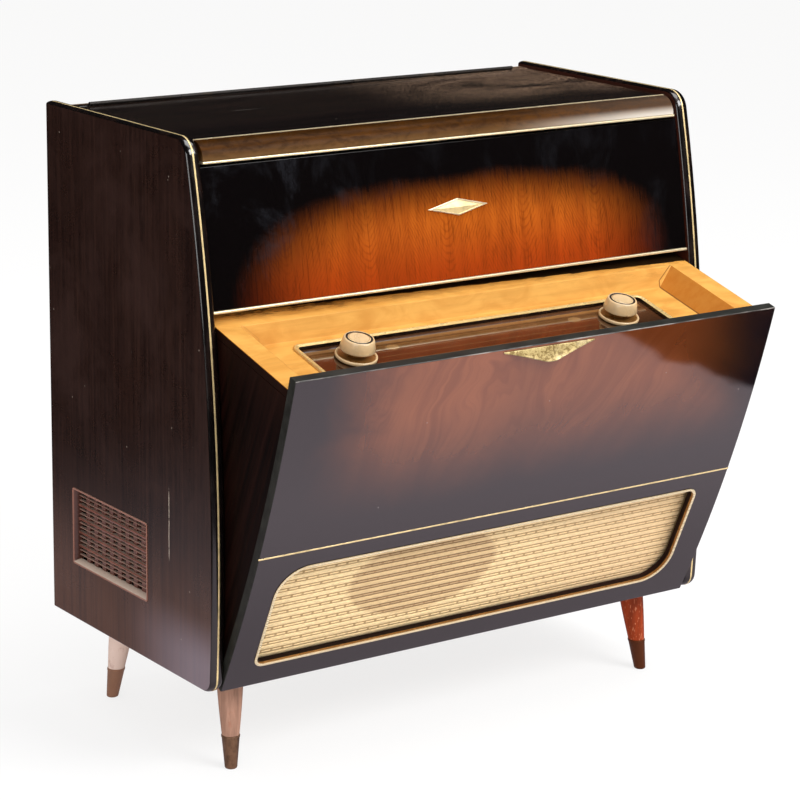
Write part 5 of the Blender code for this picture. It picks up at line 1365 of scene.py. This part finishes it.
# Receiver
class CABINET_OT_tilting_front(Operator):
    """Mirror-lacquered front of the receiver, with its brass line and pull handle"""

    bl_idname = "cabinet.tilting_front"
    bl_label = "Tilting front"

    def execute(self, context):
        outline = front_slab(TILT_BOTTOM, TILT_TOP, TILT_RECESS, TILT_BACK, 36, square=True)
        arris, beyond = 0.0013, 0.06
        shape = soften(solid(across_prism(outline, -TILT_X, TILT_X, leaned)), arris)
        hole = forward_prism(grille_outline(0.0), PIVOT_F - beyond, DEPTH + beyond, leaned)
        shape = carved(shape, hole)
        # The upper arris takes a pale line of rubbed lacquer and painted highlight.
        finishes = [tilt_veneer, panel_edge, rubbed_arris]
        nodes = ["tilt_front_panel"]
        piece("mirror_panel", shape, finishes, "receiver", nodes, self.zone, even=True)

        face = front_at(LINE_Z, TILT_RECESS)
        half = context.scene.cabinet_carcass.line_width / 2
        let_in, proud, radius = 0.0014, 0.0004, 0.0006
        outline = round_front(face - let_in, face + proud, LINE_Z - half, LINE_Z + half, radius)
        shape = solid(across_prism(outline, -TILT_X, TILT_X, leaned))
        piece("panel_brass_line", shape, [line_brass], "receiver", ["tilt_inlay"])
        self.handle(context.scene.cabinet_receiver)
        return {"FINISHED"}

    def zone(self, face):
        """The front, its upper arris or an edge."""
        turn = Matrix.Rotation(OPEN_ANGLE, 3, "X")
        forward = face.normal.dot(turn @ Vector((0.0, -1.0, 0.0)))
        upward = face.normal.dot(turn @ Vector((0.0, 0.0, 1.0)))
        on_arris, on_front = 0.25, math.cos(math.radians(30.0))
        if min(forward, upward) > on_arris:
            return 2
        return 0 if forward > on_front else 1

    def handle(self, sizes):
        radius = FRONT_RADIUS - TILT_RECESS
        top = math.asin((TILT_TOP - BELLY_Z) / radius) - 0.004 / radius
        knots = ((0.0, 1.0), (0.08, 0.985), (0.16, 0.92), (0.5, 0.53), (0.8, 0.21), (1.0, 0.04))
        rings = []
        for along in spread(-1.0, 1.0, 48):
            swell = through(knots, abs(along))
            out, drop = sizes.handle_reach * swell, sizes.handle_drop * swell
            section = [(SEAT_GAP, 0.0), (0.0012, -0.0003), (0.0018, 0.0004)]
            section += [(0.0018 + out * 0.30, drop * 0.36), (0.0018 + out * 0.66, drop * 0.72)]
            section += [(0.0016 + out, drop * 0.97), (0.0014 + out, drop + 0.0007)]
            section += [(0.0006 + out, drop + 0.0012), (SEAT_GAP + out * 0.5, drop * 0.7 + 0.0012)]
            section += [(SEAT_GAP, drop * 0.4 + 0.0014)]
            ring = []
            for lift, down in section:
                angle, reach = top - down / radius, radius + lift
                forward, height = ARC_CENTRE + reach * math.cos(angle), BELLY_Z + reach * math.sin(angle)
                ring.append(leaned(along * sizes.handle_width / 2, forward, height))
            rings.append(ring)
        shape = solid(loft(rings))
        piece("gilt_handle", shape, [cloudy_brass], "receiver", ["pull_handle"], sharp=BLUNT_ANGLE)


def through(knots, place):
    """Height of a line through knots."""
    for (t0, s0), (t1, s1) in zip(knots, knots[1:]):
        if place <= t1:
            return s0 + (s1 - s0) * (place - t0) / (t1 - t0)
    return knots[-1][1]


def grille_outline(inward):
    """Outline, across and up, of the speaker opening, drawn in by inward."""
    large, small = 0.045 - inward, 0.016 - inward
    left, right = (GRILLE_OFFSET + hand * (GRILLE_X - inward) for hand in (-1, 1))
    low, high = GRILLE_LOW + inward, GRILLE_LOW + GRILLE_HEIGHT - inward
    return rounded_rectangle(left, right, low, high, (small, large, small, large), 12)


class CABINET_OT_speaker_grille(Operator):
    """Bead round the speaker opening, and the ribbed cloth stretched behind it"""

    bl_idname = "cabinet.speaker_grille"
    bl_label = "Speaker grille"

    def execute(self, context):
        sizes = context.scene.cabinet_receiver
        self.bead(sizes)
        self.cloth(sizes)
        return {"FINISHED"}

    def bead(self, sizes):
        half, proud, inner = sizes.bead_width / 2, sizes.bead_proud, SEAT_GAP + sizes.bead_width
        foot = -0.0100
        profile = [(SEAT_GAP, foot, 2), (SEAT_GAP, proud * 0.4, 0)]
        for a in spread(math.pi * 0.85, 0.0, 6):
            profile.append((SEAT_GAP + half - half * math.cos(a), proud * (0.35 + 0.75 * math.sin(a)), 0))
        profile[-1] = (inner, proud * 0.1, 1)
        profile += [(inner, -0.0032, 2), (inner + 0.0008, foot, 2)]
        rings = []
        for inward, lift, mark in profile:
            outline = grille_outline(inward)
            rings.append([leaned(x, front_at(z, TILT_RECESS) + lift, z) for x, z in outline])
        shape = solid(loft(rings, closed=True, zones=[mark for inward, lift, mark in profile]))
        finishes = [polished_brass, gilt_plastic, wall_veneer]
        piece("grille_bead_gilt", shape, finishes, "receiver", ["grille_bead"], sharp=BLUNT_ANGLE)

    def cloth(self, sizes):
        lap, thick, sunk = 0.004, 0.0008, 0.0002
        low, high = GRILLE_LOW - lap, GRILLE_LOW + GRILLE_HEIGHT + lap
        left, right = (GRILLE_OFFSET + hand * GRILLE_X for hand in (-1, 1))
        front = front_at(low, TILT_BACK) - SEAT_GAP
        outline = [(front - thick, low), (front, low), (front, high), (front - thick, high)]
        shape = solid(across_prism(outline, left - lap, right + lap, leaned))
        cloth = piece("stretched_cloth", shape, [cloth_ground], "receiver", ["grille_cloth"])

        pitch = sizes.rib_pitch
        count = int(GRILLE_HEIGHT / pitch)
        step = leaned(0.0, 0.0, pitch) - leaned(0.0, 0.0, 0.0)
        for name, middle, wide, tall in (("wide", 0.30, 0.52, 1.0), ("thin", 0.80, 0.20, 0.75)):
            centre, half = GRILLE_LOW + middle * pitch, wide * pitch / 2
            section = [(front - sunk, centre - half)]
            for a in spread(math.pi, 0.0, 6):
                section.append((front + sizes.rib_height * tall * math.sin(a), centre + half * math.cos(a)))
            section.append((front - sunk, centre + half))
            form = across_prism(section, left, right, leaned)
            mesh = copies_of(form, "row", cloth_ribs, Count=count, Step=tuple(step))
            settle("cloth_ribs_" + name, mesh, "receiver")


class CABINET_OT_control_tray(Operator):
    """Maple tray with a sunk, splayed well, and the dial's frame and glass in its floor"""

    bl_idname = "cabinet.control_tray"
    bl_label = "Control tray"

    def execute(self, context):
        self.box()
        self.dial_frame(context.scene.cabinet_receiver)
        self.glass()
        return {"FINISHED"}

    def box(self):
        thick, low = 0.012, WELL_DEPTH + 0.008
        section = [(-WALL_X, 0.0), (WALL_X, 0.0), (WALL_X, thick), (BETWEEN_WALLS, thick)]
        section += [(BETWEEN_WALLS, low), (-BETWEEN_WALLS, low), (-BETWEEN_WALLS, thick), (-WALL_X, thick)]
        block = solid(loft([[tray(x, b, d) for x, d in section] for b in (0.0, TRAY_LENGTH)]))
        rings = []
        for depth in (-WELL_DEPTH, WELL_DEPTH):
            side = WELL_X - WELL_SPLAY / WELL_DEPTH * depth
            rear = RIM_FRONT + WELL_LENGTH - WELL_REAR_SPLAY / WELL_DEPTH * depth
            rings.append(tray_rectangle(-side, side, RIM_FRONT, rear, depth))
        arris, slack, key_hole, beyond = 0.0009, 0.0004, 0.0208, 0.06
        block = soften(carved(block, loft(rings)), arris, 2)
        holes = [dial_lines(DIAL_SEAT)]
        for key in KEYS:
            low_corner, high_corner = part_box(key)
            start = RIM_FRONT + slack
            holes.append((low_corner.x - slack, high_corner.x + slack, start, start + key_hole))
        cuts = []
        for lines in holes:
            cuts.append(loft([tray_rectangle(*lines, depth) for depth in (WELL_DEPTH / 2, beyond)]))
        upward = Matrix.Rotation(OPEN_ANGLE - TRAY_SLOPE, 3, "X") @ Vector((0.0, 0.0, 1.0))
        shape, finishes = carved(block, *cuts), [tray_maple, wall_veneer]
        zone = facing(upward, 0.3)
        piece("maple_tray", shape, finishes, "receiver", ["tray_frame"], zone, even=True)

    def dial_frame(self, sizes):
        width, base = sizes.bezel_width, WELL_DEPTH - SEAT_GAP
        crown, under = base - sizes.bezel_height, base + 0.0022
        profile = ((0.0, base), (0.0002, crown + 0.0010), (0.0012, crown + 0.0001), (0.0026, crown))
        profile += ((width * 0.6, crown + 0.0010), (width - 0.0004, crown + 0.0014), (width, base + 0.0012))
        profile += ((width, under), (0.0036, under), (0.0036, base))
        rings = []
        for inward, depth in profile:
            outline = rounded_rectangle(*dial_lines(inward), [0.012 - inward] * 4, 8)
            rings.append([tray(x, b, depth) for x, b in outline])
        # Painted shadow: the frame's inner slope down towards the glass is black lacquer.
        shape = solid(loft(rings, closed=True, zones=[0] * 5 + [1] * 4 + [0]))
        finishes = [bezel_gold, edge_lacquer]
        piece("dial_frame", shape, finishes, "receiver", ["dial_bezel"], sharp=BLUNT_ANGLE)

    def glass(self):
        lines = dial_lines(DIAL_SEAT + SEAT_GAP)
        thick, bore, beyond = 0.004, 0.0095, 0.01
        glass = solid(loft([tray_rectangle(*lines, depth) for depth in (GLASS_TOP, GLASS_TOP + thick)]))
        hole = [(bore, -beyond), (bore, beyond)]
        glass = carved(glass, *[turned(hole, knob_stand(hand), 24) for hand in (-1, 1)])
        layer = glass.loops.layers.uv.new("dial")
        origin = tray(DIAL_OFFSET, BEZEL_FRONT, GLASS_TOP)
        along = tray(DIAL_OFFSET, BEZEL_FRONT + 1.0, GLASS_TOP) - origin
        for face in glass.faces:
            for loop in face.loops:
                away = loop.vert.co - origin
                loop[layer].uv = (away.x, away.dot(along))
        piece("dial_window", glass, [dial_print], "receiver", ["dial_glass"])


class CABINET_OT_controls(Operator):
    """Two double knobs and the row of push keys"""

    bl_idname = "cabinet.controls"
    bl_label = "Knobs and keys"

    def execute(self, context):
        sizes = context.scene.cabinet_receiver
        finishes = [ivory_plastic, gilt_plastic, dark_bronze]
        for name, hand in (("volume", -1), ("tuning", 1)):
            stand = knob_stand(hand)
            shape = solid(turned(self.dish(sizes), stand, 72, ring=True))
            body = name + "_ring"
            piece(name + "_dish", shape, finishes, body, [body], sharp=BLUNT_ANGLE)
            shape = solid(turned(self.cap(sizes), stand, 72))
            body = name + "_knob"
            piece(name + "_cap", shape, finishes, body, [body], sharp=BLUNT_ANGLE)

        half, deep = 0.020, 0.010
        for number, body in enumerate(KEYS, 1):
            low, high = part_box(body)
            stand = tray_stand((low.x + high.x) / 2, RIM_FRONT + deep + 0.0008, WELL_DEPTH)
            rings = []
            for height, inset in ((-0.0025, 0.0), (0.0062, 0.0), (0.0086, 0.0022)):
                wide, tall = half - inset, deep - inset
                outline = rounded_rectangle(-wide, wide, -tall, tall, [0.002] * 4, 4)
                rings.append([stand @ Vector((x, y, height)) for x, y in outline])
            shape = soften(solid(loft(rings)), 0.0007, 2, 25.0)
            piece("push_key_%d" % number, shape, [ivory_plastic], body, [body], even=True)
        return {"FINISHED"}

    def dish(self, sizes):
        """Profile of the ring under a knob, with a gilt floor."""
        bore, sleeve, edge, top = 0.0044, 0.008, sizes.ring_radius, RING_SEAT + RING_HEIGHT
        profile = [(bore, KNOB_FOOT), (sleeve, KNOB_FOOT), (sleeve, RING_SEAT), (edge - 0.0010, RING_SEAT)]
        profile += [(edge, RING_SEAT + 0.0010), (edge, top - 0.0014), (edge - 0.0004, top - 0.0003)]
        profile += [(edge - 0.0012, top), (edge - 0.0022, top - 0.0002), (edge - 0.0030, top - 0.0014, 1)]
        return profile + [(bore, top - 0.0014)]

    def cap(self, sizes):
        """Profile of a knob: a gilt neck, a tapering cup, and a dark groove in its face."""
        shaft, neck, base, upper = 0.004, 0.0139, sizes.knob_base, sizes.knob_top
        low = RING_SEAT + RING_HEIGHT + 0.0004
        cup = low + 0.0062
        high = cup + 0.0163
        profile = [(0.0, KNOB_FOOT), (shaft, KNOB_FOOT), (shaft, low - 0.0006, 1), (neck - 0.0008, low, 1)]
        profile += [(neck, low + 0.0014, 1), (neck - 0.0012, low + 0.0024, 1), (neck, cup, 1)]
        profile += [(base - 0.0022, cup), (base - 0.0006, cup + 0.0006), (base, cup + 0.0022)]
        profile += [(upper + 0.0006, high - 0.0022), (upper, high - 0.0008), (upper - 0.0010, high)]
        profile += [(upper - 0.0020, high - 0.0001, 2), (upper - 0.0028, high - 0.0012, 2)]
        profile += [(upper - 0.0042, high - 0.0012, 2), (upper - 0.0048, high - 0.0002)]
        profile += [(upper - 0.0060, high + 0.0002, 1), (upper - 0.0066, high + 0.0001)]
        return profile + [(upper * 0.3, high + 0.0005), (0.0, high + 0.0006)]


# Record player
class CABINET_OT_record_player(Operator):
    """Changer plate with its spindle and arm post, and the platter with its ribbed mat"""

    bl_idname = "cabinet.record_player"
    bl_label = "Record player"

    def execute(self, context):
        left, right, back, front, low, high = lines_of("changer_plate")
        top = low + 0.003
        rings = []
        for height, inset in ((low, 0.0), (top - 0.0012, 0.0), (top - 0.0003, 0.0005), (top, 0.0014)):
            lines = (left + inset, right - inset, back + inset, front - inset)
            outline = rounded_rectangle(*lines, [0.018 - inset] * 4)
            rings.append([at(x, f, height) for x, f in outline])
        shape = solid(loft(rings))
        nodes = ["changer_plate"]
        piece("enamel_plate", shape, [cream_enamel], "cabinet", nodes, even=True)

        disc_low, disc_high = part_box("platter")
        middle = (disc_low + disc_high) / 2
        stand = Matrix.Translation((middle.x, middle.y, 0.0))
        under, hub, pin = disc_low.z - 0.0003, 0.018, 0.0035
        spindle = [(0.0, top), (hub, top), (hub, under), (pin, under)]
        spindle += [(pin, high - 0.004), (0.0024, high - 0.001), (0.0, high)]
        piece("record_spindle", solid(turned(spindle, stand, 32)), [plain_steel], "cabinet")
        self.platter(stand, disc_high.x - middle.x, disc_low.z, disc_high.z)

        post_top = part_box("tone_arm")[0].z + 0.0017
        points = [v.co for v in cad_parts["changer_plate"].data.vertices]
        post_left, post_foot = 0.120, top + 0.02
        post = [co.xy for co in points if co.x > post_left and co.z > post_foot]
        centre = sum(post, Vector((0.0, 0.0))) / len(post)
        stand = Matrix.Translation((centre.x, centre.y, 0.0))
        profile = [(0.0, top), (0.017, top), (0.017, top + 0.003), (0.012, top + 0.004)]
        profile += [(0.0100, post_top), (0.0, post_top)]
        piece("arm_post", solid(turned(profile, stand, 40)), [cream_enamel], "cabinet")
        return {"FINISHED"}

    def platter(self, stand, radius, low, high):
        bore, rim, mat, groove = 0.0039, high - 0.0022, high - 0.0004, high - 0.0012
        disc = [(bore, low), (radius - 0.006, low), (radius - 0.0008, low + 0.004), (radius, low + 0.0055)]
        disc += [(radius, high - 0.0035), (radius - 0.0012, rim), (radius - 0.006, rim, 1)]
        for i in range(9):
            r = radius - 0.008 - i * 0.0105
            disc += [(r, mat, 1), (r - 0.0070, mat, 1), (r - 0.0078, groove, 1), (r - 0.0096, groove, 1)]
        disc += [(0.020, high - 0.0002), (bore, high - 0.0002)]
        shape = solid(turned(disc, stand, 96, ring=True))
        finishes = [plain_steel, black_rubber]
        piece("ribbed_platter", shape, finishes, "platter", ["platter"], sharp=30.0)
        pip = [(0.0, 0.0009), (0.0010, 0.0005), (0.0016, 0.0), (0.0, -0.0003)]
        lie = Matrix.Rotation(math.pi / 2, 4, "Y")
        mesh = copies_of(turned(pip, lie, 8), "ring", plain_steel, Count=72, Radius=radius)
        mesh.transform(stand @ Matrix.Translation((0.0, 0.0, (low + high) / 2 + 0.001)))
        settle("platter_pips", mesh, "platter")


class CABINET_OT_carried_over(Operator):
    """Finishes on the CAD pieces that stay as they are, with their arrises eased"""

    bl_idname = "cabinet.carried_over"
    bl_label = "Carried-over pieces"

    finishes = {
        dark_board: ("tilt_stop_rail", "deck_board"),
        lid_veneer: ("lid_rear_rail",),
        raw_board: ("bottom_board", "baffle_board"),
        hardboard: ("back_panel",),
        wall_veneer: ("tilt_wall_left", "tilt_wall_right"),
        dark_bronze: ("lid_hinge_fixed_leaf", "lid_hinge_moving_leaf", "lid_hinge_pin"),
        plain_steel: ("changer_motor", "receiver_chassis", "pivot_plate_left", "pivot_plate_right"),
        paper_cone: ("front_speaker", "side_speaker_left", "side_speaker_right"),
        dark_felt: ("stop_strip",),
        cream_enamel: ("tone_arm",),
        ivory_plastic: ("speed_lever",),
    }
    easing = dict.fromkeys(("lid_rear_rail", "tilt_wall_left", "tilt_wall_right"), 0.0006)
    easing.update(tone_arm=0.0018, speed_lever=0.0006, tilt_stop_rail=0.0006)

    def execute(self, context):
        for finish, nodes in self.finishes.items():
            for node in nodes:
                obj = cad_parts[node]
                obj.data.materials.clear()
                obj.data.materials.append(finish_of(finish))
                if node in self.easing:
                    weld = obj.modifiers.new("weld", "WELD")
                    weld.merge_threshold = LEVEL
                    ease = obj.modifiers.new("ease", "BEVEL")
                    ease.width = self.easing[node]
                    ease.segments = 2
                    ease.limit_method = "ANGLE"
                    ease.angle_limit = math.radians(SHARP_ANGLE)
        return {"FINISHED"}


# Stage
WHITE = (1.0, 1.0, 1.0, 1.0)


class CABINET_OT_stage(Operator):
    """White paper floor, dark studio beyond it, soft lamps and the camera"""

    bl_idname = "cabinet.stage"
    bl_label = "Stage"

    def execute(self, context):
        look = context.scene.cabinet_stage
        self.camera(context, look)
        self.floor(look)
        self.studio()
        self.world(context, look)
        self.lamp("key_lamp", (1.5, -3.3, 3.2), (0.0, 0.0, 0.40), (2.4, 1.8), look.key)
        self.lamp("top_lamp", (0.7, -0.5, 3.6), (0.0, -0.05, 0.5), (2.0, 2.0), look.top)
        self.lamp("fill_lamp", (-3.2, -2.4, 1.5), (-0.2, 0.0, 0.25), (2.0, 2.0), look.fill)
        context.scene.view_settings.view_transform = "Standard"
        return {"FINISHED"}

    def camera(self, context, look):
        a, e, r = look.azimuth, look.elevation, look.roll
        toward = Vector((math.sin(a) * math.cos(e), -math.cos(a) * math.cos(e), math.sin(e)))
        right = Vector((math.cos(a), math.sin(a), 0.0))
        up = toward.cross(right)
        across = right * math.cos(r) + up * math.sin(r)
        rise = up * math.cos(r) - right * math.sin(r)
        camera = bpy.data.cameras.new("photo_camera")
        camera.lens = look.lens
        camera.sensor_width = 36.0
        camera.shift_y = look.shift
        obj = bpy.data.objects.new("photo_camera", camera)
        context.scene.collection.objects.link(obj)
        turn = Matrix((across, rise, toward)).transposed().to_4x4()
        obj.matrix_world = Matrix.Translation(look.camera) @ turn
        context.scene.camera = obj

    def ray_kinds(self, nodes):
        """Whether a ray comes from the camera, off gloss, or through glass."""
        path = nodes.node("ShaderNodeLightPath").socket.node.outputs
        return [Value(nodes, path["Is %s Ray" % kind]) for kind in ("Camera", "Glossy", "Transmission")]

    def floor(self, look):
        """White to the camera, a lit floor to the pieces, and a sheet of paper in their reflections, with a
        painted shadow near the cabinet.
        """
        size = 9.0
        bm = bmesh.new()
        corners = ((-size, -size), (size, -size), (size, size), (-size, size))
        bm.faces.new([bm.verts.new((x, y, 0.0)) for x, y in corners])
        floor = loose_object("floor", bm)
        m = Finish("floor_paper")
        x, y, _ = m.axes(m.place())
        ripple = m.noise((5.0, 5.0, 1.0), 3.0)
        edge = x - (y + 0.65) * 0.34 + (ripple - 0.5) * 0.20
        paper = 1.0 - m.span(edge, look.paper_right - 0.015, look.paper_right + 0.03)
        paper = paper * m.span(x, -look.paper_left - 0.35, -look.paper_left + 0.35)
        paper = paper * m.span(y, -1.5, -1.1) * (1.0 - m.span(y, 0.8, 1.5))
        camera, glossy, clear = self.ray_kinds(m)
        lit = m.node("ShaderNodeBsdfDiffuse", {}, {"Color": (0.86, 0.86, 0.86, 1.0)})
        glow = m.node("ShaderNodeEmission", {}, {"Color": WHITE, "Strength": 1.0})
        pale = m.node("ShaderNodeBsdfDiffuse", {}, {"Color": WHITE})
        shown = m.node("ShaderNodeMixShader", {}, {0: 0.78, 1: pale, 2: glow})
        # Painted shadow: in reflections the paper goes dark towards the cabinet.
        near = m.span(y, -0.50, -0.12, 0.0, 0.46)
        sheet = m.mix(near, (0.86, 0.74, 0.80), (0.0, 0.0, 0.0))
        grey = m.mix(paper, (0.020, 0.019, 0.019), sheet)
        sheet = m.node("ShaderNodeEmission", {}, {"Color": grey, "Strength": 1.0})
        off_gloss = m.node("ShaderNodeMixShader", {}, {0: glossy, 1: lit, 2: sheet})
        straight = m.math("MAXIMUM", camera, clear)
        both = m.node("ShaderNodeMixShader", {}, {0: straight, 1: off_gloss, 2: shown})
        m.node("ShaderNodeOutputMaterial", {}, {"Surface": both})
        floor.data.materials.append(m.material)

    def studio(self):
        """Dark walls that only reflections see, so that the lacquer stays deep."""
        rings = []
        for height, radius in ((-0.4, 6.5), (2.0, 6.4), (3.6, 5.6), (4.8, 4.0), (5.5, 0.0)):
            rings.append([Vector((x, y, height)) for x, y in circle((0.0, 0.0), radius, 48)])
        walls = loose_object("studio_walls", solid(loft(rings)))
        m = Finish("studio_grey")
        cloud = m.texture(m.place(), 0.6, 2.0)
        grey = m.mix(m.span(cloud, 0.3, 0.7), (0.006, 0.006, 0.0065), (0.014, 0.0135, 0.0135))
        dim = m.node("ShaderNodeEmission", {}, {"Color": grey, "Strength": 1.0})
        m.node("ShaderNodeOutputMaterial", {}, {"Surface": dim})
        walls.data.materials.append(m.material)
        for ray in ("camera", "diffuse", "transmission", "volume_scatter", "shadow"):
            setattr(walls, "visible_" + ray, False)

    def world(self, context, look):
        world = bpy.data.worlds.new("white_room")
        world.use_nodes = True
        nodes = Nodes(world.node_tree)
        nodes.tree.nodes.clear()
        camera, glossy, clear = self.ray_kinds(nodes)
        seen = nodes.math("MAXIMUM", nodes.math("MAXIMUM", camera, glossy), clear)
        warm = (1.0, 0.985, 0.97, 1.0)
        white = nodes.node("ShaderNodeBackground", {}, {"Color": WHITE, "Strength": 1.0})
        soft = nodes.node("ShaderNodeBackground", {}, {"Color": warm, "Strength": look.ambient})
        both = nodes.node("ShaderNodeMixShader", {}, {0: seen, 1: soft, 2: white})
        nodes.node("ShaderNodeOutputWorld", {}, {"Surface": both})
        context.scene.world = world

    def lamp(self, name, place, aim, size, power):
        light = bpy.data.lights.new(name, "AREA")
        light.shape = "RECTANGLE"
        light.size, light.size_y = size
        light.energy = power
        obj = bpy.data.objects.new(name, light)
        bpy.context.scene.collection.objects.link(obj)
        obj.location = place
        obj.rotation_euler = (Vector(aim) - Vector(place)).to_track_quat("-Z", "Y").to_euler()
        obj.visible_camera = False


class CABINET_PT_panel(Panel):
    """Lists the cabinet's sizes, colours and pieces"""

    bl_idname = "CABINET_PT_panel"
    bl_label = "Music cabinet"
    bl_space_type = "VIEW_3D"
    bl_region_type = "UI"
    bl_category = "Cabinet"

    def draw(self, context):
        for group in (getattr(context.scene, name) for name, kind in GROUPS):
            box = self.layout.box()
            for key in group.bl_rna.properties.keys():
                if key not in ("rna_type", "name"):
                    box.prop(group, key)
        for kind in PIECES:
            self.layout.operator(kind.bl_idname)


GROUPS = (
    ("cabinet_carcass", CarcassSizes),
    ("cabinet_receiver", ReceiverSizes),
    ("cabinet_colours", FinishColours),
    ("cabinet_stage", StageLook),
)
PIECES = (
    CABINET_OT_stage,
    CABINET_OT_side_panels,
    CABINET_OT_vents,
    CABINET_OT_upper_front,
    CABINET_OT_lid,
    CABINET_OT_legs,
    CABINET_OT_back_screws,
    CABINET_OT_tilting_front,
    CABINET_OT_speaker_grille,
    CABINET_OT_control_tray,
    CABINET_OT_controls,
    CABINET_OT_record_player,
    CABINET_OT_carried_over,
)


def register():
    for name, kind in GROUPS:
        bpy.utils.register_class(kind)
        setattr(bpy.types.Scene, name, PointerProperty(type=kind))
    for kind in PIECES + (CABINET_PT_panel,):
        bpy.utils.register_class(kind)


def unregister():
    for kind in (CABINET_PT_panel,) + PIECES[::-1]:
        bpy.utils.unregister_class(kind)
    for name, kind in GROUPS[::-1]:
        delattr(bpy.types.Scene, name)
        bpy.utils.unregister_class(kind)


def main():
    register()
    for kind in PIECES:
        group, name = kind.bl_idname.split(".")
        getattr(getattr(bpy.ops, group), name)()


if __name__ == "__main__":
    main()
